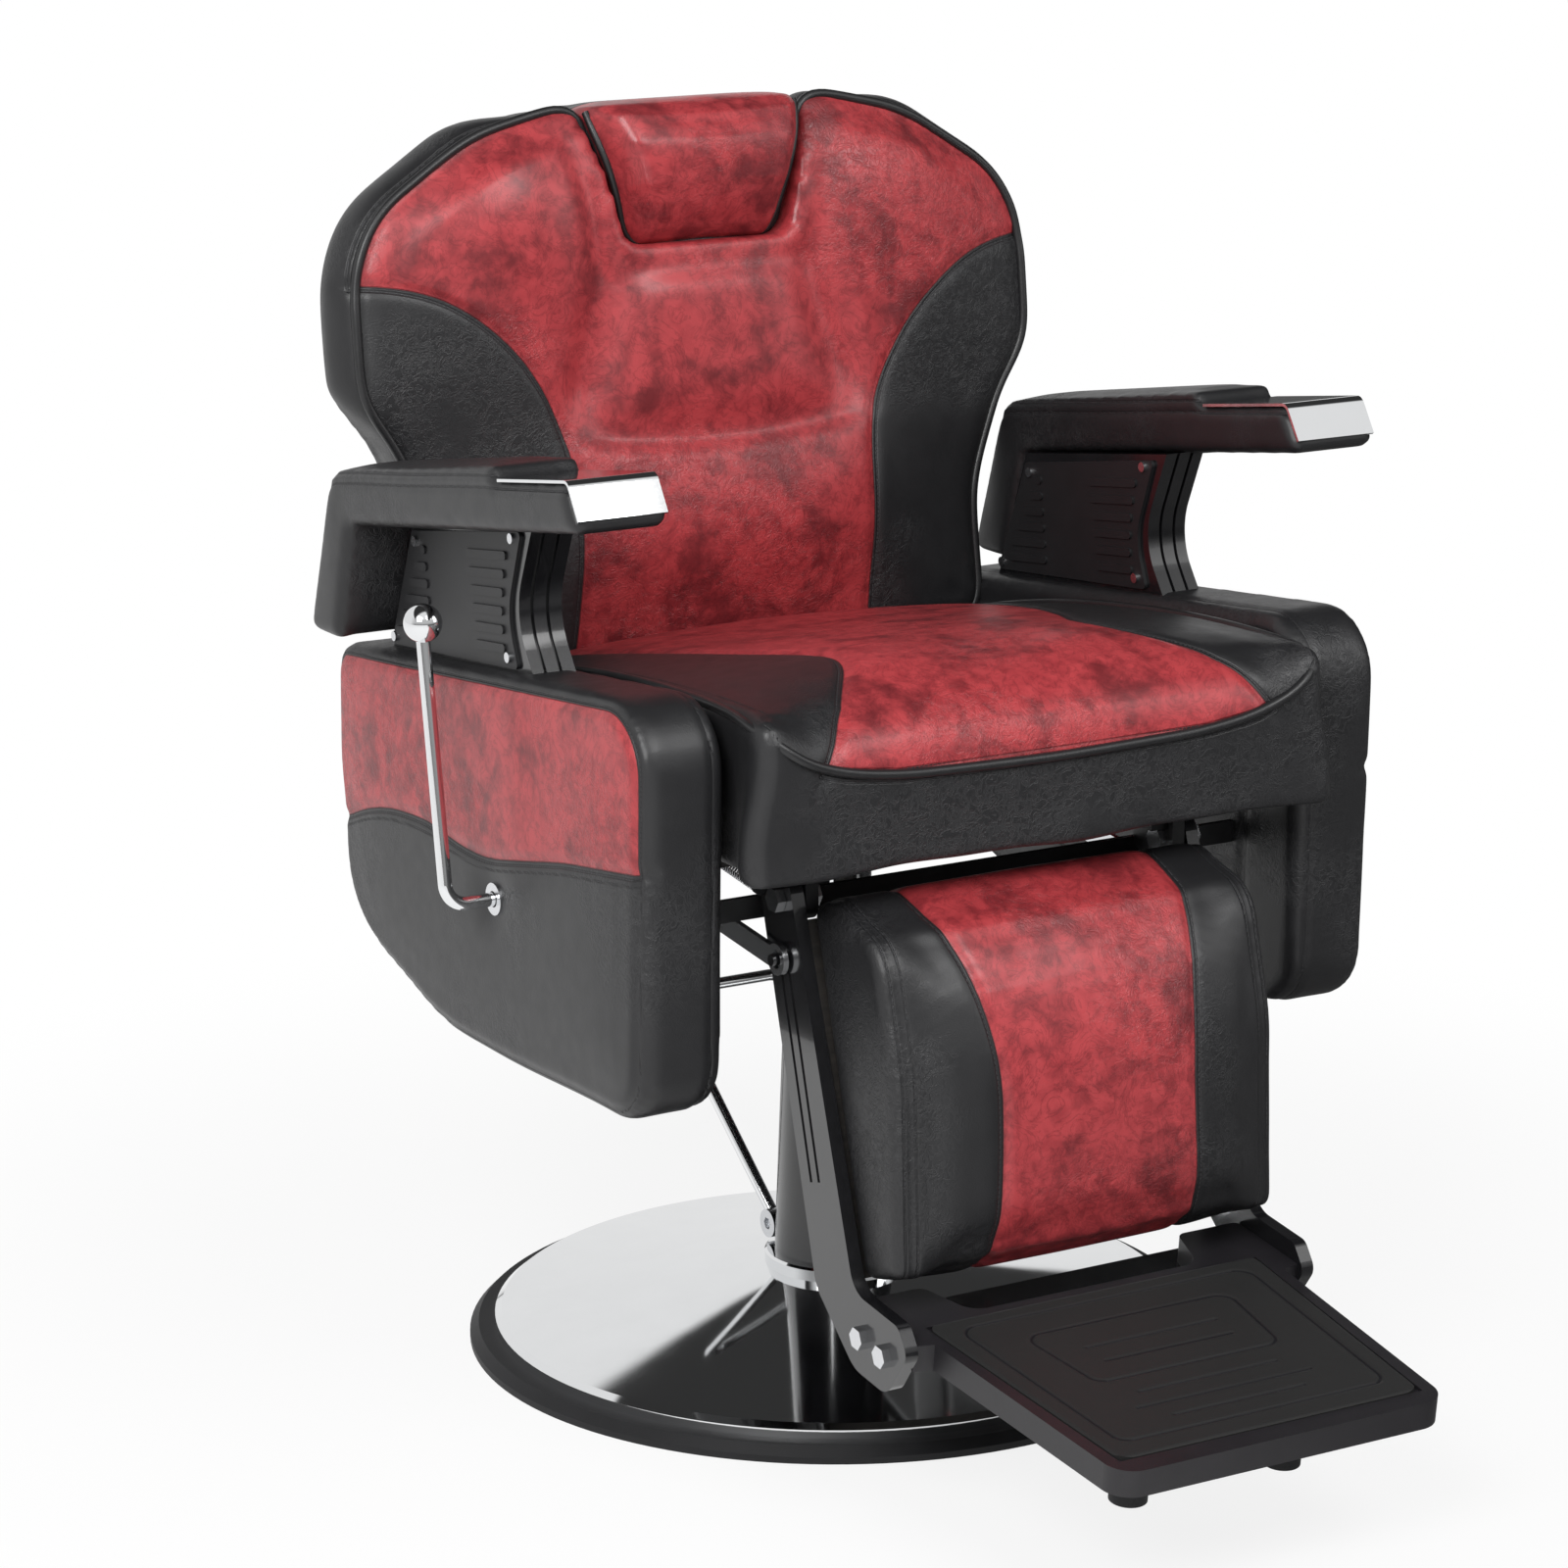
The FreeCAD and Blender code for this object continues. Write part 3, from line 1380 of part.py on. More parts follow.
def make_headrest():
    """Roll in the backrest's notch, its stem, and the guide on the board."""
    foot = number(f"{BACK_TOP} - notch_depth + notch_gap")
    top = number(BACK_TOP)
    bottom_half = number("notch_bottom_half - notch_gap")
    top_half = number("notch_top_half - notch_gap")
    rear = number(f"{BOARD_FACE} + head_rear_gap")
    bulge = number("head_bulge")
    cheek = bulge * 0.093
    wires = []
    stations = [(0, 0.3, 4), (0.1, 0.55, 0), (0.4, 0.9, 0), (0.72, 1, 0), (0.94, 0.86, 0), (1, 0.6, 5)]
    for share, swell, inset in stations:
        height = foot + share * (top - foot)
        half = bottom_half + share * (top_half - bottom_half) - inset
        front = -bulge * swell
        brow = half - bulge * 0.55
        shoulder = Vector(half - bulge * 0.1, front * 0.62, height)
        wires.append(Part.Wire([
            Part.LineSegment(Vector(-half, rear, height), Vector(half, rear, height)).toShape(),
            Part.LineSegment(Vector(half, rear, height), Vector(half, cheek, height)).toShape(),
            Part.Arc(Vector(half, cheek, height), shoulder, Vector(brow, front, height)).toShape(),
            Part.LineSegment(Vector(brow, front, height), Vector(-brow, front, height)).toShape(),
            Part.Arc(
                Vector(-brow, front, height), Vector(-shoulder.x, shoulder.y, height),
                Vector(-half, cheek, height),
            ).toShape(),
            Part.LineSegment(Vector(-half, cheek, height), Vector(-half, rear, height)).toShape(),
        ]))
    keep(formed("headrest_pad", Part.makeLoft(wires, True, True), BACK_FRAME))
    stem_front = f"({BOARD_FACE} + head_rear_gap)"
    stem = keep(prism(
        "headrest_stem", "XZ_Plane",
        [
            ("-stem_half_width", "stem_foot"),
            ("stem_half_width", "stem_foot"),
            ("stem_half_width", "stem_top"),
            ("-stem_half_width", "stem_top"),
        ],
        f"-({stem_front} + stem_thickness)", "stem_thickness", [("stem_half_width / 2", (0, 1, 2, 3))],
    ))
    lean_back(stem)
    guide = block(
        "guide_block",
        ("-stem_half_width - guide_wall", BOARD_FACE, "guide_foot"),
        ("stem_half_width + guide_wall", f"{stem_front} + stem_thickness + guide_wall / 2",
         "guide_foot + guide_height"),
    )
    slot = block(
        "guide_slot",
        ("-stem_half_width - moving_gap", BOARD_FACE, "guide_foot"),
        ("stem_half_width + moving_gap", f"{stem_front} + stem_thickness + head_rear_gap",
         "guide_foot + guide_height"),
    )
    keep(lean_back(cut("headrest_guide", guide, slot)))


# Recline links from the backrest's cranks to the leg rest's studs
def make_links():
    rear_y = f"({BACK_Y} + crank_radius * cos(crank_angle * 1 deg))"
    rear_z = f"({BACK_Z} - crank_radius * sin(crank_angle * 1 deg))"
    front_y = f"({LEG_Y} - leg_stud_ahead)"
    front_z = f"({LEG_Z} - leg_stud_drop)"
    rear = Vector(0, number(rear_y), number(rear_z))
    front = Vector(0, number(front_y), number(front_z))
    length = (rear - front).Length
    slope = math.degrees(math.atan2(rear.z - front.z, rear.y - front.y))
    bar_length = f"sqrt(({rear_y} - {front_y})^2 + ({rear_z} - {front_z})^2)"
    link_outer = "(link_inner + link_thickness)"
    for side_name, side in SIDES.items():
        start = start_of(side, "link_inner", link_outer)
        strip = block(
            f"link_strip_{side_name}",
            (start, "0", "-link_height / 2"),
            (start_of(side, link_outer, "link_inner"), bar_length, "link_height / 2"),
        )
        eyes = [
            rod(f"link_front_eye_{side_name}", "X", "link_eye", "link_thickness", start, "0", "0"),
            rod(f"link_rear_eye_{side_name}", "X", "link_eye", "link_thickness", start, bar_length, "0"),
        ]
        holes = [
            rod(f"link_front_hole_{side_name}", "X", "stud_radius + link_slack", "link_thickness",
                start, "0", "0"),
            rod(f"link_rear_hole_{side_name}", "X", "stud_radius + running_fit", "link_thickness",
                start, bar_length, "0"),
        ]
        bar = cut(f"link_bar_{side_name}", fuse(f"link_solid_{side_name}", strip, *eyes), *holes)
        keep(lean(bar, front_y, front_z, slope))
    print("recline link length", round(length, 2), "mm, slope", round(slope, 3), "degrees")


# Leg rest: arms with a forward foot, calf board and pad
def leg_local(dy, dz):
    """Depth and height in the leg rest's frame of a point at dy, dz from its pivot."""
    tilt = "leg_lean * 1 deg"
    depth = f"(({dy}) * cos({tilt}) - ({dz}) * sin({tilt}))"
    height = f"(({dy}) * sin({tilt}) + ({dz}) * cos({tilt}))"
    return depth, height


def lug_corner(along, up):
    """A corner of the arm's foot, given in the footplate's frame."""
    tilt = "foot_tilt * 1 deg"
    dy = f"(-foot_ahead + ({along}) * cos({tilt}) - ({up}) * sin({tilt}))"
    dz = f"(-foot_drop + ({along}) * sin({tilt}) + ({up}) * cos({tilt}))"
    return leg_local(dy, dz)


def make_leg_arms():
    stud = leg_local("-leg_stud_ahead", "-leg_stud_drop")
    anchor = leg_local("spring_leg_back", "spring_leg_rise")
    corners = [
        ("leg_arm_back", "leg_arm_head"),
        ("-leg_arm_front", "leg_arm_head"),
        lug_corner("lug_half * 0.55", "lug_half"),
        lug_corner("-lug_nose * 0.75", "lug_half"),
        lug_corner("-lug_nose", "lug_half * 0.4"),
        lug_corner("-lug_nose * 0.62", "-lug_half"),
        lug_corner("lug_half * 0.3", "-lug_half"),
        ("leg_arm_back", f"{leg_local('-foot_ahead', '-foot_drop')[1]} + 40"),
    ]
    bolt_holes = [
        (*lug_corner("0", "0"), "foot_bolt_radius + running_fit"),
        (*lug_corner("-foot_bolt_pitch", "0"), "foot_bolt_radius + running_fit"),
    ]
    for side_name, side in SIDES.items():
        body = prism(
            f"leg_bar_{side_name}", "YZ_Plane", corners,
            start_of(side, "leg_arm_inner", LEG_ARM_OUTER), "leg_arm_thickness",
            [("leg_arm_round", (0, 1)), ("26", (2,)), ("12", (3, 4)), ("22", (5,)), ("34", (6, 7))],
            [("0", "0", "pivot_radius + running_fit")] + bolt_holes,
        )
        grooves = []
        for index in range(2):
            y = f"({index} * groove_pitch)"
            grooves.append([
                (f"{y}", "-groove_foot"),
                (f"{y} + groove_width", "-groove_foot"),
                (f"{y} + groove_width", "-groove_top"),
                (f"{y}", "-groove_top"),
            ])
        cut_to_depth(
            body, "YZ_Plane", f"leg_grooves_{side_name}",
            LEG_ARM_OUTER if side > 0 else f"-{LEG_ARM_OUTER}", "groove_depth", grooves, side < 0,
        )
        link_stud = rod(
            f"leg_stud_{side_name}", "X", "stud_radius", "stud_end - leg_arm_inner",
            start_of(side, "leg_arm_inner", "stud_end"), *stud,
        )
        spring_stud = rod(
            f"leg_spring_stud_{side_name}", "X", "spring_stud_radius", "spring_out - leg_arm_inner",
            start_of(side, "leg_arm_inner", "spring_out"), *anchor,
        )
        disc = rod(
            f"leg_spring_disc_{side_name}", "Y", "spring_anchor_radius", "2 * spring_anchor_half",
            f"{side} * spring_out", "0", "0",
        )
        angle = spring_angle() + number("leg_lean")
        turn = Rotation(Vector(1, 0, 0), angle - 90)
        shift = turn.multVec(Vector(0, 0, -number("spring_anchor_half")))
        place(
            disc, f"{side} * spring_out", f"{anchor[0]} + ({shift.y})", f"{anchor[1]} + ({shift.z})", turn,
        )
        keep(lean_leg(fuse(f"leg_arm_{side_name}", body, link_stud, spring_stud, disc)))


def make_calf_rest():
    board_rear = "(-leg_arm_front + calf_board)"
    board = prism(
        "calf_board", "YZ_Plane",
        [
            ("-leg_arm_front - 4", "-calf_top - calf_length"),
            (f"{board_rear} - 4", "-calf_top - calf_length"),
            (f"{board_rear} - 4", "-calf_board_top"),
            ("-leg_arm_front - 4", "-calf_board_top"),
        ],
        "-leg_arm_inner", "2 * leg_arm_inner",
    )
    keep(lean_leg(board))
    half = number("calf_half_width")
    drawn_in = number("calf_drawn_in")
    crown = number("calf_crown")
    rear = number("-leg_arm_front - 4")
    top = number("-calf_top")
    foot = top - number("calf_length")
    depth = number("calf_depth_top")
    deep = rear - depth
    shallow = rear - number("calf_depth_bottom")
    stations = [(half, 0, drawn_in), (half - drawn_in, 0, 0), (half * 0.6, 0.75, 0), (0, 1, 0)]
    mirrored = [(-x, swell, inset) for x, swell, inset in stations]
    wires = []
    for x, swell, inset in mirrored + stations[-2::-1]:
        proud = crown * swell
        corners = [
            (rear - inset * 0.3, foot, drawn_in * 0.67),
            (rear - inset * 0.3, top, drawn_in),
            (rear - depth * 0.35, top + proud * 0.3, depth * 0.17),
            (deep - proud * 0.7, top - depth * 0.46, depth * 0.48),
            (deep - proud, top - depth * 1.56, depth * 2.08),
            (shallow - proud, foot, drawn_in * 1.33),
        ]
        wires.append(outline_wire(rounded(corners, inset), at_x(x)))
    keep(formed("calf_pad", Part.makeLoft(wires, True, True), LEG_FRAME))


# Footplate with its mat, bolts, cross plate and bumpers
def make_footplate():
    rear_half = "leg_arm_inner"
    outline = [
        (f"-{rear_half}", "foot_rear"),
        (f"-{rear_half}", "-foot_neck + 4"),
        ("-foot_rear_half", "-foot_neck"),
        ("-foot_front_half", "-foot_front"),
        ("foot_front_half", "-foot_front"),
        ("foot_rear_half", "-foot_neck"),
        (rear_half, "-foot_neck + 4"),
        (rear_half, "foot_rear"),
        ("foot_notch_half + 16", "foot_rear"),
        ("foot_notch_half", "-foot_notch"),
        ("-foot_notch_half", "-foot_notch"),
        ("-foot_notch_half - 16", "foot_rear"),
    ]
    plate = prism(
        "foot_casting", "XY_Plane", outline, FOOT_UNDER, "foot_thickness",
        [("24", (3, 4)), ("20", (9, 10)), ("10", (8, 11)), ("6", (0, 7))],
    )
    recess_floor = "(foot_top + mat_proud - mat_thickness)"
    mat_rear_half = "(foot_rear_half - mat_margin)"
    mat_front_half = "(foot_front_half - mat_margin * 1.3)"
    mat_front = "(foot_front - mat_front_margin)"
    recess = [
        (f"-{mat_rear_half} - mat_gap", "-mat_rear + mat_gap"),
        (f"-{mat_front_half} - mat_gap", f"-{mat_front} - mat_gap"),
        (f"{mat_front_half} + mat_gap", f"-{mat_front} - mat_gap"),
        (f"{mat_rear_half} + mat_gap", "-mat_rear + mat_gap"),
    ]
    cut_to_depth(plate, "XY_Plane", "mat_recess", "foot_top", "mat_thickness - mat_proud", [recess])
    front_hollow = [
        ("-foot_front_half + 2 * foot_wall", "-foot_rib_front"),
        ("-foot_front_half + 3 * foot_wall", "-foot_front + 2 * foot_wall"),
        ("foot_front_half - 3 * foot_wall", "-foot_front + 2 * foot_wall"),
        ("foot_front_half - 2 * foot_wall", "-foot_rib_front"),
    ]
    rear_hollow = [
        ("-foot_rear_half + 2 * foot_wall", "-foot_neck - foot_wall"),
        ("-foot_front_half + foot_wall", "-foot_rib_rear"),
        ("foot_front_half - foot_wall", "-foot_rib_rear"),
        ("foot_rear_half - 2 * foot_wall", "-foot_neck - foot_wall"),
    ]
    cut_to_depth(
        plate, "XY_Plane", "foot_hollows", FOOT_UNDER, "foot_hollow", [front_hollow, rear_hollow], True,
    )
    bores = []
    bolts = []
    bolt_inner = "(leg_arm_inner - foot_bolt_length)"
    head_outer = f"({LEG_ARM_OUTER} + foot_bolt_head)"
    for side_name, side in SIDES.items():
        for index in range(2):
            y = f"(-{index} * foot_bolt_pitch)"
            bores.append(rod(
                f"foot_bore_{side_name}_{index}", "X", "foot_bolt_radius + running_fit",
                "foot_bolt_length + 1", start_of(side, bolt_inner, "(leg_arm_inner + 1)"), y, "0",
            ))
            bolts.append(fuse(
                f"foot_bolt_{side_name}_{index}",
                rod(f"foot_shank_{side_name}_{index}", "X", "foot_bolt_radius",
                    f"{head_outer} - {bolt_inner}", start_of(side, bolt_inner, head_outer), y, "0"),
                hexagon(f"foot_head_{side_name}_{index}", "foot_bolt_flats", "foot_bolt_head",
                        start_of(side, LEG_ARM_OUTER, head_outer), y, "0"),
            ))
    keep(lean_foot(cut("footplate", plate, *bores)))
    keep(lean_foot(group("footplate_bolts", bolts)))
    mat = prism(
        "footplate_mat", "XY_Plane",
        [
            (f"-{mat_rear_half}", "-mat_rear"),
            (f"-{mat_front_half}", f"-{mat_front}"),
            (mat_front_half, f"-{mat_front}"),
            (mat_rear_half, "-mat_rear"),
        ],
        recess_floor, "mat_thickness", [("mat_margin", (0, 1, 2, 3))],
    )
    keep(lean_foot(mat))
    keep(lean_foot(prism(
        "leg_cross_plate", "XY_Plane",
        [
            ("-leg_arm_inner", "cross_plate_front"),
            ("leg_arm_inner", "cross_plate_front"),
            ("leg_arm_inner", "cross_plate_rear"),
            ("-leg_arm_inner", "cross_plate_rear"),
        ],
        f"{FOOT_UNDER} - cross_plate_height", "cross_plate_height",
    )))
    bumpers = []
    bumper_y = "(-(foot_rib_front + foot_rib_rear) / 2)"
    pad_height = "(bumper_height * 0.4)"
    for side_name, side in SIDES.items():
        x = f"({side} * bumper_half)"
        foot = f"({FOOT_UNDER} - bumper_height)"
        bumpers.append(fuse(
            f"bumper_{side_name}",
            rod(f"bumper_neck_{side_name}", "Z", "bumper_neck", "bumper_height", x, bumper_y, foot),
            rod(f"bumper_pad_{side_name}", "Z", "bumper_radius", pad_height, x, bumper_y, foot),
        ))
    keep(lean_foot(group("footplate_bumpers", bumpers)))


# Return springs between the rails and the leg arms
def spring_ends():
    """The spring's two anchor points in the Y and Z plane: leg arm, then rail."""
    leg = Vector(0, number(f"{LEG_Y} + spring_leg_back"), number(f"{LEG_Z} + spring_leg_rise"))
    rail = Vector(0, number("spring_rail"), number(f"{RAIL_FOOT} + rail_height * 0.4"))
    return leg, rail


def spring_angle():
    """The spring's slope above the level, in degrees."""
    leg, rail = spring_ends()
    return math.degrees(math.atan2(rail.z - leg.z, rail.y - leg.y))


def biarc(start, along, end, onward):
    """Two tangent arcs from one point and direction to another, equal at the joint."""
    apart = end - start
    both = along + onward
    spread = 2 * (1 - along.dot(onward))
    reach = (-apart.dot(both) + math.sqrt(apart.dot(both) ** 2 + spread * apart.dot(apart))) / spread
    first = start + along * reach
    second = end - onward * reach
    joint = (first + second) / 2
    arcs = []
    for near, knee, far in ((start, first, joint), (joint, second, end)):
        chord = (near + far) / 2
        cosine = (far - near).Length / 2 / reach
        middle = chord + (knee - chord) * (cosine / (1 + cosine))
        arcs.append(Part.Arc(near, middle, far).toShape())
    return arcs


def spring_shape(length):
    """A close-wound spring along Z, with straight ends that stand on its anchors."""
    radius = number("spring_radius")
    wire = number("spring_wire")
    straight = number("spring_straight")
    sweep = number("spring_sweep")
    first = straight + sweep
    pitch = (length - 2 * first) / SPRING_TURNS
    rise = pitch / (2 * math.pi * radius)
    up = Vector(0, 0, 1)

    def on_helix(angle, height):
        return Vector(radius * math.cos(angle), radius * math.sin(angle), height)

    def tangent(angle):
        return Vector(-math.sin(angle), math.cos(angle), rise).normalize()

    lead = math.radians(70)
    foot = on_helix(-lead, 0)
    edges = [Part.LineSegment(foot, on_helix(-lead, straight)).toShape()]
    edges += biarc(on_helix(-lead, straight), up, on_helix(0, first), tangent(0))
    for half in range(2 * SPRING_TURNS):
        start = half * math.pi
        end = start + math.pi
        low = first + half * pitch / 2
        edges += biarc(on_helix(start, low), tangent(start), on_helix(end, low + pitch / 2), tangent(end))
    last = length - first
    edges += biarc(on_helix(0, last), tangent(0), on_helix(lead, length - straight), up)
    edges.append(Part.LineSegment(on_helix(lead, length - straight), on_helix(lead, length)).toShape())
    path = Part.Wire(edges)
    least_gap(path, wire, pitch)
    return swept(path, foot, up, wire / 2)


def least_gap(path, wire, pitch):
    """Print the least gap between the spring's wire and itself, measured on points."""
    per_edge = 6
    spots = []
    for edge in path.Edges:
        for step in range(per_edge):
            spots.append(edge.getParameterByLength(edge.Length * step / per_edge))
    points = []
    for index, edge in enumerate(path.Edges):
        for step in range(per_edge):
            points.append(edge.valueAt(spots[index * per_edge + step]))
    half_turn = 2 * per_edge
    least = min(
        (points[index] - points[other]).Length
        for index in range(len(points))
        for other in range(index + half_turn, min(index + 4 * half_turn, len(points)))
    )
    print("spring: pitch", round(pitch, 2), "mm, least gap to itself", round(least - wire, 2), "mm")


def make_springs():
    leg, rail = spring_ends()
    half = number("spring_anchor_half")
    along = (rail - leg).normalize()
    length = (rail - leg).Length - 2 * half
    shape = spring_shape(length)
    anchors = []
    for side_name, side in SIDES.items():
        frame = Placement(
            leg + along * half + Vector(side * number("spring_out"), 0, 0),
            Rotation(Vector(1, 0, 0), spring_angle() - 90),
        )
        keep(formed(f"leg_spring_{side_name}", shape.copy(), frame))
        turn = Rotation(Vector(1, 0, 0), spring_angle() - 90)
        shift = turn.multVec(Vector(0, 0, -half))
        y = "spring_rail"
        z = f"({RAIL_FOOT} + rail_height * 0.4)"
        disc = rod(
            f"rail_spring_disc_{side_name}", "Y", "spring_anchor_radius", "2 * spring_anchor_half",
            f"{side} * spring_out", y, z,
        )
        place(disc, f"{side} * spring_out", f"{y} + ({shift.y})", f"{z} + ({shift.z})", turn)
        stud = rod(
            f"rail_spring_stud_{side_name}", "X", "spring_stud_radius", f"spring_out - {RAIL_OUTER}",
            start_of(side, RAIL_OUTER, "spring_out"), y, z,
        )
        anchors.append(fuse(f"rail_anchor_{side_name}", disc, stud))
    keep(group("spring_anchors", anchors))


make_base()
make_pump()
make_pedal()
make_seat_frame()
make_seat_cushion()
make_side_panels()
make_arm_frames()
make_covers()
make_arm_pads()
make_lever()
make_back()
make_uprights()
make_headrest()
make_links()
make_leg_arms()
make_calf_rest()
make_footplate()
make_springs()
doc.recompute()

# Every object and every piece is checked before anything is written
for item in doc.Objects:
    if "Invalid" in item.State or "Error" in item.State:
        raise RuntimeError(f"{item.Label} failed: {item.State}")
broken = [piece.Label for piece in nodes if piece.Shape.isNull() or not piece.Shape.isValid()]
if broken:
    raise RuntimeError(f"no valid shape: {broken}")

os.makedirs("parts", exist_ok=True)
for piece in nodes:
    piece.Shape.exportStep(os.path.join("parts", f"{piece.Label}.step"))
print(len(nodes), "pieces written")
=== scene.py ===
# %% [markdown]
# # A hydraulic barber chair
# The chair's frame, joints and hard parts come from its CAD model. This lesson gives them their
# finishes, and builds what a solid modeller makes badly: padded vinyl with seams, piping and creases.
# Everything is in metres, in the frame of the CAD model, so no piece has to be fitted by eye.

# %% Load the chair's frame
import json
import math
import bpy
import numpy as np
from mathutils import Matrix, Vector
from mathutils.bvhtree import BVHTree


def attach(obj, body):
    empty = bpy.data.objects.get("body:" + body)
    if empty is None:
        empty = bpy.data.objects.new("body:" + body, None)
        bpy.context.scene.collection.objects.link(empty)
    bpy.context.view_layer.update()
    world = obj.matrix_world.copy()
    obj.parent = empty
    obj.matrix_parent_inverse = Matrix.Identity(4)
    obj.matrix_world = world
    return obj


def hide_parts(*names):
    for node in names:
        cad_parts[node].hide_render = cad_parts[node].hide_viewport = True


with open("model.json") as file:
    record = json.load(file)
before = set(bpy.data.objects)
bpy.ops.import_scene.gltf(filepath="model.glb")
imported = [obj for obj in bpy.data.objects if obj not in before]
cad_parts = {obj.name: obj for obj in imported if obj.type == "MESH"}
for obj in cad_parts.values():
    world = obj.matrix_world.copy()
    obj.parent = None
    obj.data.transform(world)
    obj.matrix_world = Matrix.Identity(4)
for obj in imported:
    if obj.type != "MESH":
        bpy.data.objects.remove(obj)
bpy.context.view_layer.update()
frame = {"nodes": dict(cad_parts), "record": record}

nodes = frame["nodes"]

# %% [markdown]
# ## The camera
# The photograph was taken from in front of the chair's right side with a long lens. The numbers come
# from a camera fitted to measured points of the chair. A matrix of three axes says exactly where it
# looks, which is easier to check than three angles.

# %% Place the camera
yaw, pitch, roll = (math.radians(angle) for angle in (29.8, 14.1, -0.4))
ahead = Vector((math.sin(yaw) * math.cos(pitch), math.cos(yaw) * math.cos(pitch), -math.sin(pitch)))
level = Vector((math.cos(yaw), -math.sin(yaw), 0))
upward = level.cross(ahead)
camera_right = level * math.cos(roll) + upward * math.sin(roll)
camera_up = upward * math.cos(roll) - level * math.sin(roll)
turn = Matrix((camera_right, camera_up, -ahead)).transposed().to_4x4()
bpy.ops.object.camera_add()
camera = bpy.context.object
camera.name = "camera"
camera.matrix_world = Matrix.Translation((-2.0517, -3.482, 1.5186)) @ turn
camera.data.sensor_width = 36
camera.data.lens = 4789.2 / 1600 * 36
camera.data.shift_x = (800 - 795.0) / 1600
camera.data.shift_y = (806.4 - 800) / 1600
bpy.context.scene.camera = camera
bpy.context.scene.view_settings.view_transform = "Standard"
print("camera lens", round(camera.data.lens, 1), "mm")

# %% [markdown]
# ## Shader maths as plain expressions
# A finish is arithmetic on textures. Linking Math nodes by hand is slow to read, so a small class
# wraps a socket and lets `1 - mask` or `a * b` add the node. A second class owns one material, adds
# any other node, and ends in the shader.

# %% A socket that does arithmetic
class Wire:
    """One output socket. Arithmetic on it adds Math nodes to its material."""

    def __init__(self, finish, socket):
        self.finish = finish
        self.socket = socket

    def math(self, operation, *values):
        return self.finish.node("ShaderNodeMath", {"operation": operation}, dict(enumerate(values)))

    def __add__(self, other):
        return self.math("ADD", self, other)

    def __sub__(self, other):
        return self.math("SUBTRACT", self, other)

    def __rsub__(self, other):
        return self.math("SUBTRACT", other, self)

    def __mul__(self, other):
        return self.math("MULTIPLY", self, other)

    def __truediv__(self, other):
        return self.math("DIVIDE", self, other)

    def __abs__(self):
        return self.math("ABSOLUTE", self)

    __radd__ = __add__
    __rmul__ = __mul__

    def most(self, other):
        return self.math("MAXIMUM", self, other)

    def cycle(self, length):
        """Where the value is in a repeating length, from 0 to 1."""
        return self.math("FRACT", self.math("DIVIDE", self, length))

    def ramp(self, low, high):
        """0 below low, 1 above high, and smooth between them. Low may be the larger."""
        return self.finish.node(
            "ShaderNodeMapRange", {"interpolation_type": "SMOOTHSTEP", "clamp": True},
            {"Value": self, "From Min": low, "From Max": high, "To Min": 0.0, "To Max": 1.0})


# %% A tree of nodes, and a material made with one
class Graph:
    """A node tree that starts empty, of a material or of the world."""

    def __init__(self, owner):
        owner.use_nodes = True
        self.tree = owner.node_tree
        self.tree.nodes.clear()

    def node(self, kind, settings=None, sockets=None, out=0):
        """Adds a node, sets its settings first and then its sockets, and returns one output."""
        made = self.tree.nodes.new(kind)
        for key, value in (settings or {}).items():
            setattr(made, key, value)
        for key, value in (sockets or {}).items():
            if isinstance(value, Wire):
                self.tree.links.new(value.socket, made.inputs[key])
            else:
                made.inputs[key].default_value = value
        return Wire(self, made.outputs[out]) if len(made.outputs) else made

    def rays(self, *names):
        """1 for the kinds of light path that are named."""
        found = [self.node("ShaderNodeLightPath", out=f"Is {name} Ray") for name in names]
        total = found[0]
        for kind in found[1:]:
            total = total.most(kind)
        return total


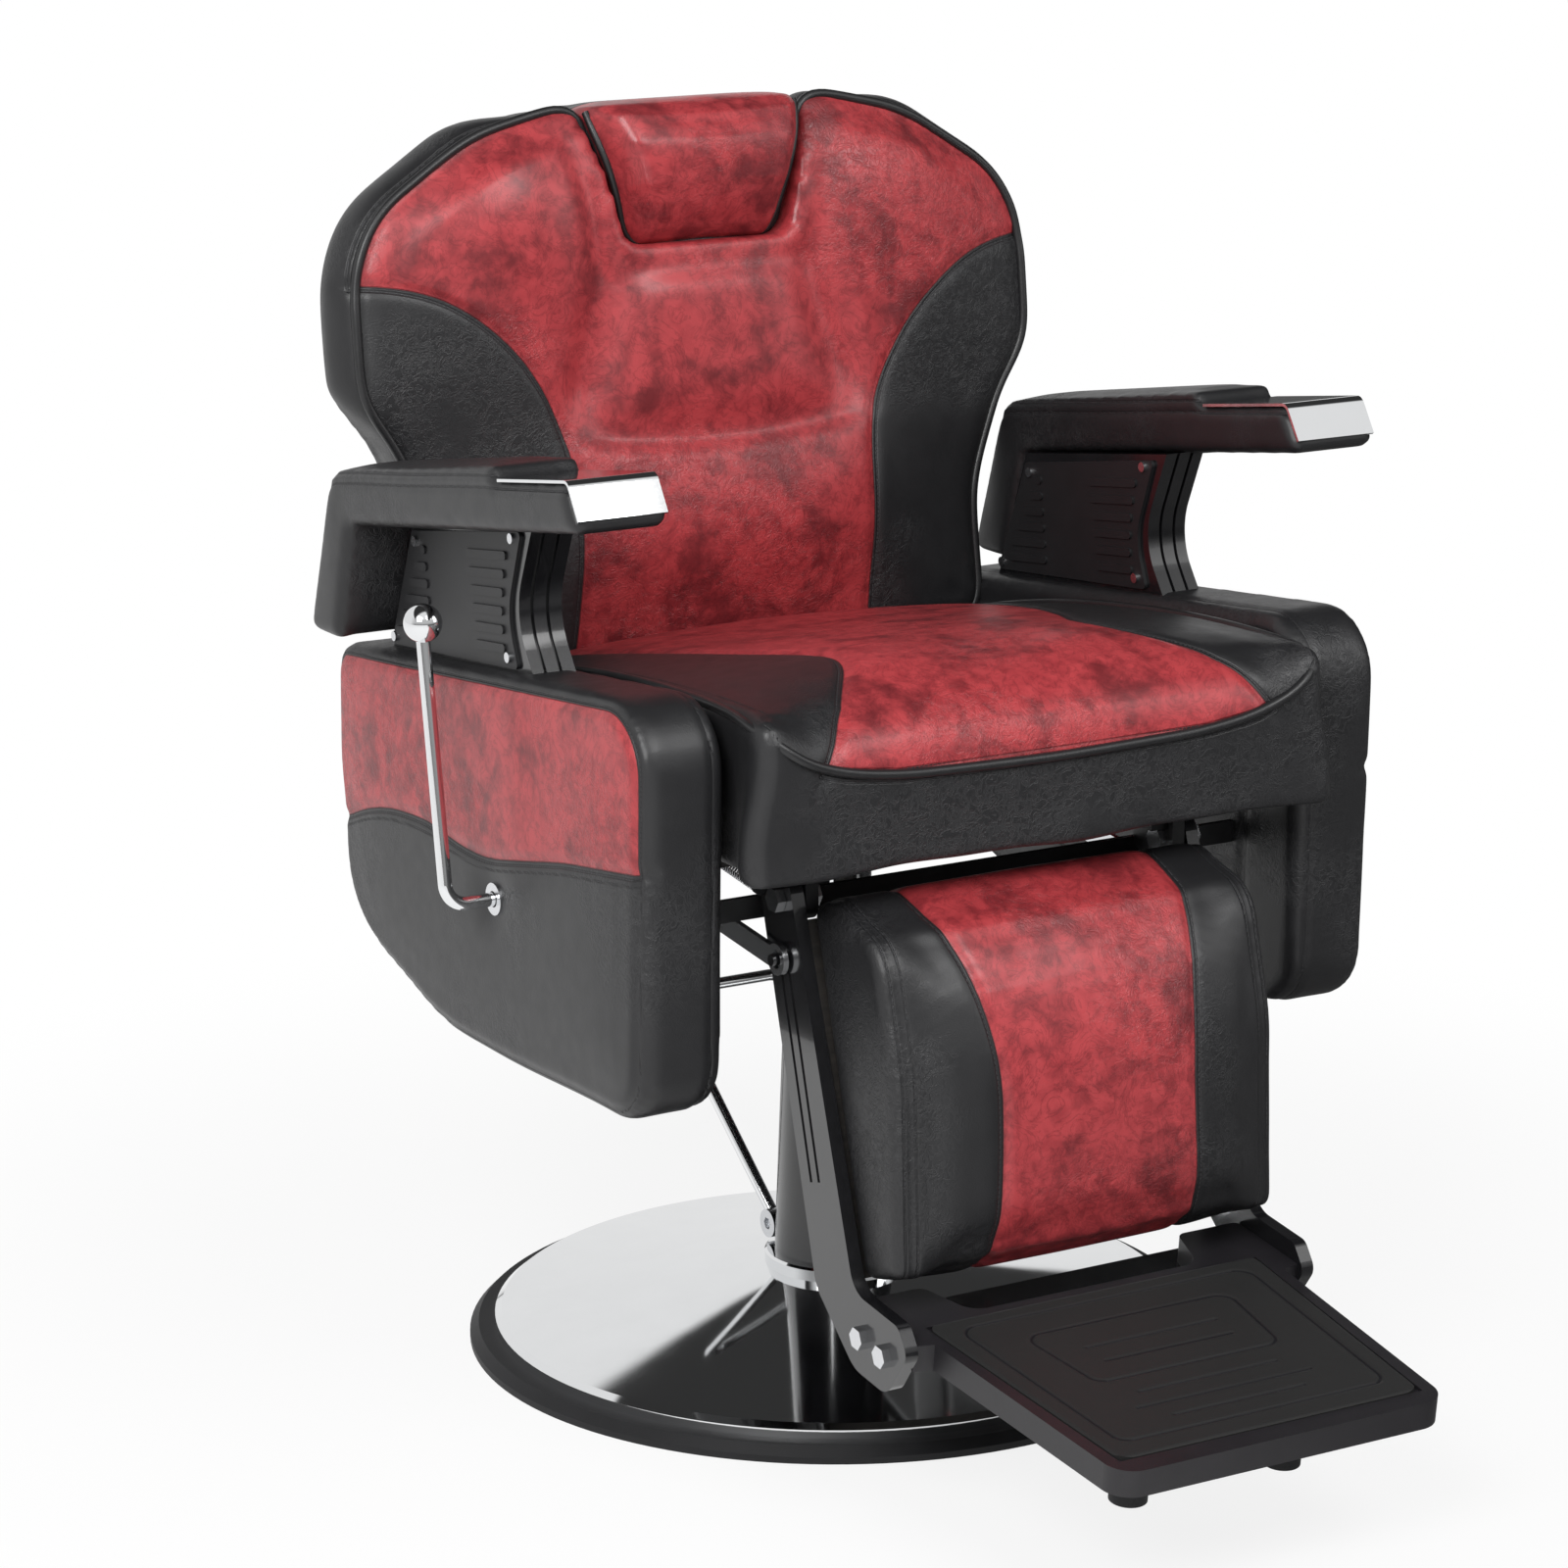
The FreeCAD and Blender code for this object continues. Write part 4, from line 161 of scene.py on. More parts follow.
class Finish(Graph):
    """One material with its Principled shader. Constants are set on the shader's own sockets."""

    def __init__(self, name, **constants):
        self.material = bpy.data.materials.new(name)
        super().__init__(self.material)
        self.shader = self.tree.nodes.new("ShaderNodeBsdfPrincipled")
        self.output = self.tree.nodes.new("ShaderNodeOutputMaterial")
        self.tree.links.new(self.shader.outputs[0], self.output.inputs["Surface"])
        for key, value in constants.items():
            self.shader.inputs[key.replace("_", " ")].default_value = value

    def place(self, scale=(1, 1, 1)):
        where = self.node("ShaderNodeTexCoord", out="Object")
        if tuple(scale) == (1, 1, 1):
            return where
        return self.node("ShaderNodeMapping", {}, {"Vector": where, "Scale": scale})

    def noise(self, scale, detail=3.0, rough=0.5, twist=0.0, stretch=(1, 1, 1)):
        return self.node("ShaderNodeTexNoise", {}, {
            "Vector": self.place(stretch), "Scale": scale, "Detail": detail,
            "Roughness": rough, "Distortion": twist})

    def cells(self, scale, feature="F1"):
        return self.node("ShaderNodeTexVoronoi", {"feature": feature}, {
            "Vector": self.place(), "Scale": scale}, out="Distance")

    def attribute(self, name):
        return self.node("ShaderNodeAttribute", {"attribute_name": name}, out="Fac")

    def blend(self, share, first, second):
        """A colour between two colours."""
        mix = self.tree.nodes.new("ShaderNodeMix")
        mix.data_type = "RGBA"
        for socket, value in ((mix.inputs[0], share), (mix.inputs[6], first), (mix.inputs[7], second)):
            if isinstance(value, Wire):
                self.tree.links.new(value.socket, socket)
            else:
                socket.default_value = (*value, 1.0) if isinstance(value, tuple) else value
        return Wire(self, mix.outputs[2])

    def feed(self, socket, wire):
        self.tree.links.new(wire.socket, self.shader.inputs[socket])
        return self

    def relief(self, height, depth=0.001, strength=1.0):
        """Feeds the normal from a height, where 1 stands for depth in metres."""
        bump = self.node("ShaderNodeBump", {}, {"Strength": strength, "Distance": depth, "Height": height})
        return self.feed("Normal", bump)


# %% [markdown]
# ## The studio
# The chair stands on white paper under large soft lamps. The paper and the world are white to the
# camera, so the background is clean while the floor keeps its shadow. Mirrors see another room, as
# they do in a real studio: white walls on the left and above, and a black cloth behind on the right,
# which gives the chrome its dark side. The lamp at the back lights the rims but is kept out of the
# mirrors, where it would burn a hard white patch into the dome.

# %% Floor and world
def studio_paper():
    """White paper that keeps the chair's shadow, fades into the background, and is dim in mirrors."""
    paper = Finish("white_paper", Roughness=0.95, Specular_IOR_Level=0.0)
    paper.feed("Base Color", paper.blend(paper.noise(30, 4), (0.86, 0.86, 0.86), (0.88, 0.88, 0.88)))
    where = paper.node("ShaderNodeTexCoord", out="Object")
    reach = paper.node("ShaderNodeVectorMath", {"operation": "LENGTH"}, {0: where}, out="Value")
    fade = reach.ramp(0.55, 1.4) * 0.15 + 0.85
    seen, mirrored = paper.rays("Camera", "Transmission"), paper.rays("Glossy")
    to_right = paper.node("ShaderNodeSeparateXYZ", {}, {0: where}, out="X")
    glow = paper.node("ShaderNodeEmission", {}, {
        "Strength": seen + mirrored * (to_right.ramp(0.4, -0.3) * 1.0 + 0.05)})
    paper_or_glow = paper.node("ShaderNodeMixShader", {}, {
        0: seen * fade + mirrored * 0.85, 1: Wire(paper, paper.shader.outputs[0]), 2: glow})
    paper.tree.links.new(paper_or_glow.socket, paper.output.inputs["Surface"])
    return paper.material


bpy.ops.mesh.primitive_plane_add(size=40)
floor = bpy.context.object
floor.name = "floor"
floor.data.materials.append(studio_paper())

world = bpy.data.worlds.new("studio")
bpy.context.scene.world = world
room = Graph(world)
axes = room.node("ShaderNodeTexCoord", out="Generated")
to_left, to_back, to_top = (
    room.node("ShaderNodeSeparateXYZ", {}, {0: axes}, out=axis) for axis in ("X", "Y", "Z"))
front_wall = to_top.ramp(-0.12, 0.20) * 0.55 + 0.12
walls = (front_wall + to_back.ramp(-0.35, 0.25) * (1.05 - front_wall)) * to_top.ramp(-0.15, 0.02)
cloth = (to_left * 0.9 - to_back * 1.16 + to_top * 1.2).ramp(-0.01, 0.03) * to_back.ramp(-0.35, -0.10)
mirrored = walls.most(to_top.ramp(0.30, 0.58) * 1.05) * (1 - cloth * 0.96)
white = room.rays("Camera", "Transmission")
glossy = room.rays("Glossy")
strength = white * 1.25 + glossy * mirrored + (1 - white.most(glossy)) * 0.40
sky = room.node("ShaderNodeBackground", {}, {"Strength": strength})
room.node("ShaderNodeOutputWorld", {}, {"Surface": sky})


# %% Lamps
def soft_lamp(name, place, aim, width, power):
    bpy.ops.object.light_add(type="AREA", location=place)
    lamp = bpy.context.object
    lamp.name = name
    lamp.data.shape = "RECTANGLE"
    lamp.data.size, lamp.data.size_y = width
    lamp.data.energy = power
    lamp.rotation_euler = (Vector(aim) - Vector(place)).to_track_quat("-Z", "Y").to_euler()
    return lamp


soft_lamp("key_lamp", (-2.4, -1.9, 2.6), (0, -0.1, 0.6), (1.6, 1.6), 82)
soft_lamp("front_lamp", (0.5, -2.7, 2.9), (0, 0, 0.75), (1.8, 1.4), 45)
soft_lamp("fill_lamp", (2.3, -2.0, 1.8), (0, 0, 0.6), (1.2, 1.6), 9)
back_lamp = soft_lamp("back_lamp", (-1.3, 2.4, 2.6), (0, 0, 0.7), (1.5, 1.2), 30)
back_lamp.visible_glossy = False
print("studio: floor and four lamps")

# %% [markdown]
# ## The finishes
# The chair has two vinyls and about ten hard finishes. Each hard one gets what its maker leaves on
# it: orange peel in paint, fine polishing marks in chrome, turning marks in zinc, sand in castings.
# The vinyl comes first, because it covers most of what is seen.

# %% Vinyl: red marble, black grain, seams and stitches
def vinyl(name, two_tone=True):
    """Coated cloth. The attribute seam is the distance in mm to the colour border, positive on red.

    Run counts mm along that border, and hem and hemrun do the same for rows with no colour change.
    """
    skin = Finish(name, Specular_IOR_Level=0.5)
    grain = skin.cells(720, "SMOOTH_F1") * 0.6 + skin.noise(900, 2) * 0.4
    folds = abs(skin.noise(95, 4, 0.6, 1.6) - 0.5).ramp(0.10, 0.0)
    patches = skin.noise(7, 2).ramp(0.42, 0.62)
    creased = folds * patches
    thread_row = abs(skin.attribute("hem"))
    dash = abs(skin.attribute("hemrun").cycle(4.2) - 0.5).ramp(0.36, 0.30)
    stitch = thread_row.ramp(0.75, 0.35) * dash
    groove = thread_row.ramp(1.9, 0.6)
    black_shade = skin.blend(skin.noise(26, 5, 0.6), (0.0105, 0.0105, 0.0115), (0.019, 0.019, 0.0205))
    black_shade = skin.blend(creased * 0.5, black_shade, (0.030, 0.030, 0.032))
    colour = black_shade
    rough = skin.noise(60, 3) * 0.14 + 0.34
    if two_tone:
        seam = skin.attribute("seam")
        red = seam.ramp(-0.35, 0.35)
        cloud = skin.noise(17, 5, 0.55, 0.5)
        mottle = skin.noise(58, 5, 0.55, 0.4)
        veins = abs(skin.noise(34, 5, 0.65, 2.2) - 0.5).ramp(0.045, 0.0)
        deep = (cloud * 0.72 + mottle * 0.28).ramp(0.44, 0.66)
        shade = skin.blend(mottle.ramp(0.35, 0.7), (0.45, 0.050, 0.057), (0.34, 0.034, 0.041))
        shade = skin.blend(deep * 0.78, shade, (0.120, 0.014, 0.018))
        shade = skin.blend(veins * 0.35, shade, (0.085, 0.008, 0.012))
        colour = skin.blend(red, black_shade, shade)
        border = abs(seam + 3.6)
        border_dash = abs(skin.attribute("run").cycle(4.2) - 0.5).ramp(0.36, 0.30)
        border_stitch = border.ramp(0.75, 0.35) * border_dash
        stitch = stitch.most(border_stitch)
        groove = groove.most(border.ramp(1.9, 0.6)).most(abs(seam).ramp(1.1, 0.2))
        rough = rough - red * 0.08
    # The seam grooves and stitch rows are painted nearly black: painted shade in the recess of each seam.
    colour = skin.blend(groove * 0.55, colour, (0.006, 0.006, 0.007))
    colour = skin.blend(stitch, colour, (0.034, 0.034, 0.037))
    skin.feed("Base Color", colour).feed("Roughness", rough + groove * 0.15)
    skin.relief(grain * 0.11 - creased * 0.24 - groove * 0.55 + stitch * 0.6)
    return skin.material


two_tone_vinyl = vinyl("red_and_black_vinyl")
black_vinyl = vinyl("black_vinyl", two_tone=False)

piping_skin = Finish("piping_vinyl", Specular_IOR_Level=0.5)
piping_skin.feed("Base Color", piping_skin.blend(
    piping_skin.noise(40, 4), (0.010, 0.010, 0.011), (0.019, 0.019, 0.020)))
piping_skin.feed("Roughness", piping_skin.noise(120, 3) * 0.12 + 0.30)
piping_skin.relief(piping_skin.cells(900, "SMOOTH_F1") * 0.05)
piping_vinyl = piping_skin.material


# %% Paint, chrome, zinc, rubber, castings, plywood
def paint(name, shade, rough, peel=0.03, coat=0.0):
    """Sprayed black: faint orange peel, dust, and a rougher film where hands don't rub."""
    film = Finish(name, Coat_Roughness=0.06)
    dust = film.noise(30, 6, 0.6)
    film.feed("Base Color", film.blend(dust.ramp(0.35, 0.8), shade, tuple(value * 1.7 for value in shade)))
    film.feed("Roughness", dust * 0.10 + rough)
    film.shader.inputs["Coat Weight"].default_value = coat
    film.relief(film.noise(260, 2) * peel + film.noise(1500, 1) * peel * 0.3)
    return film.material


def plating(name, shade, rough, marks=0.02):
    """Bright plating: fine polishing marks and a slightly uneven mirror."""
    metal = Finish(name, Metallic=1.0)
    haze = metal.noise(18, 5, 0.6)
    metal.feed("Base Color", metal.blend(haze, shade, tuple(value * 0.93 for value in shade)))
    metal.feed("Roughness", haze * 0.05 + metal.noise(700, 2, stretch=(1, 1, 0.06)) * 0.03 + rough)
    metal.relief(metal.noise(45, 2) * marks)
    return metal.material


def cast(name, shade, rough, sand=0.12):
    """A coated casting: sand texture under a thin film, brighter where it is rubbed."""
    body = Finish(name)
    grit = body.noise(850, 3, 0.6)
    body.feed("Base Color", body.blend(body.noise(35, 5), shade, tuple(value * 1.6 for value in shade)))
    body.feed("Roughness", grit * 0.16 + rough)
    body.relief(grit * sand + body.noise(120, 2) * sand * 0.4)
    return body.material


def rubber(name, shade):
    """Moulded rubber: matt, with a little bloom."""
    stuff = Finish(name, Specular_IOR_Level=0.35)
    bloom = stuff.noise(22, 6, 0.65)
    bloomed = tuple(value * 1.8 for value in shade)
    stuff.feed("Base Color", stuff.blend(bloom.ramp(0.3, 0.8), shade, bloomed))
    stuff.feed("Roughness", bloom * 0.18 + 0.50)
    stuff.relief(stuff.noise(1100, 2) * 0.05)
    return stuff


def plywood():
    """Board stained nearly black: long grain lines across the layers."""
    board = Finish("stained_plywood")
    grain = board.noise(24, 6, 0.6, 0.6, stretch=(0.4, 6, 6))
    stain = board.blend(grain.ramp(0.3, 0.7), (0.008, 0.007, 0.006), (0.022, 0.018, 0.015))
    board.feed("Base Color", stain)
    board.feed("Roughness", grain * 0.2 + 0.55)
    board.relief(grain * 0.2)
    return board.material


finishes = {
    "cast_base": cast("cast_base_paint", (0.012, 0.012, 0.013), 0.50),
    "black_rim": rubber("black_rim", (0.008, 0.008, 0.009)).material,
    "mirror_chrome": plating("mirror_chrome", (0.86, 0.87, 0.88), 0.015, 0.006),
    "satin_black": paint("satin_black_paint", (0.011, 0.011, 0.012), 0.36),
    "gloss_black": paint("gloss_black_paint", (0.007, 0.007, 0.008), 0.16, 0.012, coat=0.6),
    "gloss_moulding": paint("gloss_black_moulding", (0.007, 0.007, 0.008), 0.17, 0.010, coat=0.5),
    "satin_moulding": cast("satin_black_moulding", (0.011, 0.011, 0.012), 0.40, 0.05),
    "black_casting": cast("black_casting", (0.012, 0.011, 0.013), 0.30, 0.10),
    "tread_rubber": rubber("tread_rubber", (0.017, 0.017, 0.017)).material,
    "gland_brass": plating("turned_brass", (0.78, 0.58, 0.28), 0.22),
    "zinc": plating("zinc_plate", (0.74, 0.75, 0.77), 0.20, 0.03),
    "plywood": plywood(),
    "red_black_vinyl": two_tone_vinyl,
    "black_vinyl": black_vinyl,
}


# The channels are painted darker than the rubber round them: painted shade in the grooves.
grooved = rubber("grooved_rubber", (0.017, 0.017, 0.017))
grooved.feed("Base Color", grooved.blend(
    grooved.attribute("channel").ramp(0.25, 0.8), (0.019, 0.019, 0.019), (0.006, 0.006, 0.008)))
grooved_rubber = grooved.material


def dress(piece, material):
    piece.data.materials.clear()
    piece.data.materials.append(material)
    return piece


for subpart in frame["record"]["subparts"]:
    dress(nodes[subpart["node"]], finishes[subpart["material_slot"]])
print("finishes", len(finishes))

# %% [markdown]
# ## Lines that seams follow
# Seams are drawn as lines in millimetres, on the flat view of a cushion that a pattern cutter would
# use. Each vertex of the cushion then gets its distance to the line. Distances stay smooth on a
# coarse mesh, so a shader can cut a crisp border and lay even stitches from them.

# %% Rounded loops and smooth lines
def rounded_loop(corners, steps=14):
    """A closed line round corners of (across, up, radius)."""
    line = []
    for index, (x, y, radius) in enumerate(corners):
        here = np.array((x, y), float)
        back = np.array(corners[index - 1][:2], float) - here
        on = np.array(corners[(index + 1) % len(corners)][:2], float) - here
        back_length, on_length = np.linalg.norm(back), np.linalg.norm(on)
        back, on = back / back_length, on / on_length
        half = math.acos(max(-1, min(1, float(back @ on)))) / 2
        reach = min(radius / math.tan(half), 0.49 * back_length, 0.49 * on_length)
        middle = here + (back + on) / np.linalg.norm(back + on) * reach / math.cos(half)
        start, end = here + back * reach - middle, here + on * reach - middle
        swing = math.pi - 2 * half
        for share in np.linspace(0, 1, steps):
            line.append(middle + (start * math.sin((1 - share) * swing) + end * math.sin(share * swing))
                        / math.sin(swing))
    line.append(line[0])
    return np.array(line)


def even(line, step):
    """The same line with points an even step apart."""
    line = np.asarray(line, float)
    length = np.concatenate([[0], np.cumsum(np.linalg.norm(np.diff(line, axis=0), axis=1))])
    marks = np.linspace(0, length[-1], max(3, int(round(length[-1] / step)) + 1))
    return np.stack([np.interp(marks, length, line[:, axis]) for axis in range(line.shape[1])], 1)


def smooth_line(points, step=6.0, passes=14):
    """A line that runs smoothly near the given points and keeps its ends."""
    line = even(points, step)
    for _ in range(passes):
        line[1:-1] = line[1:-1] * 0.5 + (line[:-2] + line[2:]) * 0.25
    return line


def to_line(points, line):
    """For flat points: signed distance, positive on the line's left, and how far along it."""
    start, run = line[:-1], np.diff(line, axis=0)
    length = np.maximum(np.linalg.norm(run, axis=1), 1e-9)
    along = np.concatenate([[0], np.cumsum(length)[:-1]])
    distance, travel = np.empty(len(points)), np.empty(len(points))
    for low in range(0, len(points), 4096):
        from_start = points[low:low + 4096, None, :] - start
        share = np.clip((from_start * run).sum(2) / length ** 2, 0, 1)
        gap = np.linalg.norm(from_start - share[..., None] * run, axis=2)
        best = gap.argmin(1)
        rows = np.arange(len(best))
        near = from_start[rows, best]
        side = np.sign(run[best, 0] * near[:, 1] - run[best, 1] * near[:, 0])
        distance[low:low + 4096] = gap[rows, best] * np.where(side == 0, 1, side)
        travel[low:low + 4096] = along[best] + share[rows, best] * length[best]
    return distance, travel


def to_nearest(points, lines):
    """The unsigned distance to the nearest of several lines."""
    return np.abs(np.array([to_line(points, line)[0] for line in lines])).min(0)


def bell(value, middle, width):
    return np.exp(-((value - middle) / width) ** 2)


def step_up(value, low, high):
    share = np.clip((value - low) / (high - low), 0, 1)
    return share * share * (3 - 2 * share)


# %% [markdown]
# ## From a hard solid to a soft cushion
# A real cushion is foam in a sewn cover: flat where it rests, held along its seams, and crowned where
# it is free. The copy of a CAD solid is remeshed into even squares, drawn in a little, and blown up
# by a short cloth simulation. Each vertex has a freedom from 0 to 1, so the seams keep the outline of
# the chair, and the movement is averaged over neighbours, so that taut vinyl shows no crumples.

# %% Copy, remesh and inflate
inflation_frames = 16
no_row = 60.0  # mm to a seam that a piece doesn't have, which is far enough to leave no mark


def choose_only(piece):
    bpy.ops.object.select_all(action="DESELECT")
    piece.select_set(True)
    bpy.context.view_layer.objects.active = piece


def get_points(piece):
    flat = np.empty(len(piece.data.vertices) * 3)
    piece.data.vertices.foreach_get("co", flat)
    return flat.reshape(-1, 3)


def get_normals(piece):
    flat = np.empty(len(piece.data.vertices) * 3)
    piece.data.vertices.foreach_get("normal", flat)
    return flat.reshape(-1, 3)


def set_points(piece, points):
    piece.data.vertices.foreach_set("co", np.ascontiguousarray(points).ravel())
    piece.data.update()


def copy_solid(node, name):
    """A merged copy of a CAD node as a new object at the origin."""
    mesh = nodes[node].data.copy()
    mesh.name = name
    mesh.materials.clear()
    copy = bpy.data.objects.new(name, mesh)
    bpy.context.scene.collection.objects.link(copy)
    choose_only(copy)
    bpy.ops.object.mode_set(mode="EDIT")
    bpy.ops.mesh.select_all(action="SELECT")
    bpy.ops.mesh.remove_doubles(threshold=0.00002)
    bpy.ops.object.mode_set(mode="OBJECT")
    return copy


def apply_modifier(piece, kind, **settings):
    choose_only(piece)
    modifier = piece.modifiers.new(kind.title(), kind)
    for key, value in settings.items():
        setattr(modifier, key, value)
    bpy.ops.object.modifier_apply(modifier=modifier.name)


def neighbour_mean(piece, values, passes):
    """Vectors on the vertices, averaged along the edges of the mesh."""
    count = len(piece.data.vertices)
    pairs = np.empty(len(piece.data.edges) * 2, np.int64)
    piece.data.edges.foreach_get("vertices", pairs)
    start, end = np.concatenate([pairs.reshape(-1, 2), pairs.reshape(-1, 2)[:, ::-1]]).T
    degree = np.maximum(np.bincount(start, minlength=count), 1)[:, None]
    for _ in range(passes):
        total = np.stack([np.bincount(start, values[end, axis], count) for axis in range(3)], 1)
        values = values * 0.4 + total / degree * 0.6
    return values


def inflate(piece, limit, draw_in, free):
    """Blows the piece up. Free is 0 to 1 for each vertex, and limit is in metres."""
    start = get_points(piece) - get_normals(piece) * draw_in * free[:, None]
    set_points(piece, start)
    group = piece.vertex_groups.new(name="held")
    group.add([int(index) for index in np.flatnonzero(free < 0.05)], 1.0, "REPLACE")
    cloth = piece.modifiers.new("Inflate", "CLOTH")
    cloth.settings.quality = 4
    cloth.settings.mass = 0.3
    cloth.settings.tension_stiffness = cloth.settings.compression_stiffness = 12
    cloth.settings.bending_stiffness = 0.8
    cloth.settings.use_pressure = True
    cloth.settings.uniform_pressure_force = 4.0
    cloth.settings.effector_weights.gravity = 0
    cloth.settings.vertex_group_mass = "held"
    scene = bpy.context.scene
    for number in range(1, inflation_frames + 1):
        scene.frame_set(number)
    shaped = piece.evaluated_get(bpy.context.evaluated_depsgraph_get())
    flat = np.empty(len(piece.data.vertices) * 3)
    shaped.data.vertices.foreach_get("co", flat)
    move = flat.reshape(-1, 3) - start
    piece.modifiers.remove(cloth)
    piece.vertex_groups.clear()
    scene.frame_set(1)
    far = np.maximum(np.linalg.norm(move, axis=1), 1e-9)
    move *= (limit * np.tanh(far / limit) / far)[:, None]
    set_points(piece, start + neighbour_mean(piece, move, 8) * free[:, None])
    print(piece.name, "moved up to", round(float(far.max()) * 1000, 1), "mm before the limit")


def cushion(node, name, voxel, limit, draw_in, free_where, passes=0, grow=0.003):
    """A soft copy of a CAD node. Free_where gives each point's freedom, from 0 to 1.

    Grow makes up for what the evening of the corners takes away. Passes even the free parts out
    first, where the CAD's creases are too narrow for a cover.
    """
    piece = copy_solid(node, name)
    apply_modifier(piece, "REMESH", mode="VOXEL", voxel_size=voxel)
    points = get_points(piece) + get_normals(piece) * grow
    set_points(piece, points)
    if passes:
        evened = neighbour_mean(piece, points, passes)
        set_points(piece, points + (evened - points) * step_up(free_where(points), 0.0, 0.5)[:, None])
    inflate(piece, limit, draw_in, free_where(get_points(piece)))
    apply_modifier(piece, "SMOOTH", factor=0.5, iterations=2)
    apply_modifier(piece, "SUBSURF", levels=1, render_levels=1)
    bpy.ops.object.shade_smooth()
    print(name, len(piece.data.vertices), "vertices")
    return piece


def mirrored_copy(piece, name):
    """The same piece for the other side of the chair."""
    mesh = piece.data.copy()
    mesh.name = name
    copy = bpy.data.objects.new(name, mesh)
    bpy.context.scene.collection.objects.link(copy)
    set_points(copy, get_points(copy) * (-1, 1, 1))
    choose_only(copy)
    bpy.ops.object.mode_set(mode="EDIT")
    bpy.ops.mesh.select_all(action="SELECT")
    bpy.ops.mesh.flip_normals()
    bpy.ops.object.mode_set(mode="OBJECT")
    return copy


def press(piece, depth):
    """Moves each vertex along its normal by a depth in mm."""
    set_points(piece, get_points(piece) + get_normals(piece) * (depth / 1000)[:, None])


def mark(piece, **fields):
    """Keeps numbers on the vertices under a name, for the vinyl to read."""
    for name, values in fields.items():
        layer = piece.data.attributes.new(name, "FLOAT", "POINT")
        layer.data.foreach_set("value", np.ascontiguousarray(values, np.float32))


def settle(piece, material, body, replaced):
    dress(piece, material)
    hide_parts(replaced)
    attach(piece, body)


# %% [markdown]
# ## Piping
# Piping is a cord sewn into the seam in a strip of vinyl. It is laid on the finished cushion: the
# seam's line is dropped to the nearest place on the surface, smoothed, and given a round section
# that sinks halfway in.

# %% Lay a piped cord on a cushion
broad_piping, fine_piping = 0.0044, 0.0034
broad_lift, fine_lift = 0.0014, 0.0008


def lay(piece, line, lift):
    """Points of the line dropped on the piece's surface and raised by lift, all in metres."""
    mesh = piece.data
    tree = BVHTree.FromPolygons(
        [vertex.co for vertex in mesh.vertices], [tuple(face.vertices) for face in mesh.polygons])
    laid = []
    for point in line:
        place, normal, _, _ = tree.find_nearest(Vector(point))
        laid.append(place + normal * lift)
    return np.array(laid)


def piping(name, line, radius, closed, body, passes=6):
    """A round cord along points in metres."""
    line = np.array(line)
    if closed and np.linalg.norm(line[0] - line[-1]) < 1e-4:
        line = line[:-1]
    loop = np.vstack([line, line[:1]]) if closed else line
    print(name, "length", round(float(np.linalg.norm(np.diff(loop, axis=0), axis=1).sum()), 3), "m")
    for _ in range(passes):
        if closed:
            line = line * 0.5 + (np.roll(line, 1, 0) + np.roll(line, -1, 0)) * 0.25
        else:
            line[1:-1] = line[1:-1] * 0.5 + (line[:-2] + line[2:]) * 0.25
    curve = bpy.data.curves.new(name, "CURVE")
    curve.dimensions = "3D"
    spline = curve.splines.new("POLY")
    spline.points.add(len(line) - 1)
    spline.points.foreach_set("co", np.c_[line, np.ones(len(line))].ravel())
    spline.use_cyclic_u = closed
    curve.bevel_depth = radius
    curve.bevel_resolution = 3
    curve.use_fill_caps = not closed
    cord = bpy.data.objects.new(name, curve)
    bpy.context.scene.collection.objects.link(cord)
    choose_only(cord)
    bpy.ops.object.convert(target="MESH")
    cord = bpy.context.object
    bpy.ops.object.shade_smooth()
    dress(cord, piping_vinyl)
    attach(cord, body)
    return cord


# %% [markdown]
# ## The back cushion
# The back is one broad cushion with two shoulder lobes, a notch for the headrest, black side inserts
# and a black side band. It leans back by 6 degrees, so its seams are drawn in its own upright frame,
# from the lower edge up. Troughs and creases are pressed in after the inflation.

# %% Back: frame of the leaning cushion
back_foot, back_lean = np.array((0, 205, 600)), math.radians(6)


def on_back(points):
    """World metres to the back's own mm: across, depth behind the front edge, and height."""
    rest = points * 1000 - back_foot
    depth = rest[:, 1] * math.cos(back_lean) - rest[:, 2] * math.sin(back_lean)
    height = rest[:, 1] * math.sin(back_lean) + rest[:, 2] * math.cos(back_lean)
    return rest[:, 0], depth, height


def from_back(across, depth, height):
    """The back's own mm to world metres."""
    y = depth * math.cos(back_lean) + height * math.sin(back_lean)
    z = height * math.cos(back_lean) - depth * math.sin(back_lean)
    return (np.stack([across, y, z], 1) + back_foot) / 1000


def as_sewn(across, height):
    """Where the cover pulls the flat pattern to: wider shoulders, and a lower crest and notch."""
    wide = across * (1 + 0.035 * step_up(height, 190, 265))
    notch = 9 * bell(height, 372, 48) * step_up(-np.abs(across), -150, -100)
    return wide, height - 10 * step_up(height, 400, 495) - notch


back_side = [(281, -8, 28), (277, 118, 150), (331, 255, 110), (331, 392, 120), (215, 482, 140),
             (135, 502.5, 60), (115, 502.5, 14), (82, 374.5, 26)]
back_outline = rounded_loop(back_side + [(-x, h, r) for x, h, r in reversed(back_side)])

# %% Back: the soft form
def back_freedom(points):
    """Held along the piped rim and at the board, and less free on the side band."""
    across, depth, height = on_back(points)
    inside = np.abs(to_line(np.stack([across, height], 1), back_outline)[0])
    from_rim = np.hypot(inside, np.maximum(0, depth - 4))
    return step_up(from_rim, 5, 48) * np.where(depth > 4, 0.35, 1) * step_up(-depth, -62, -50)


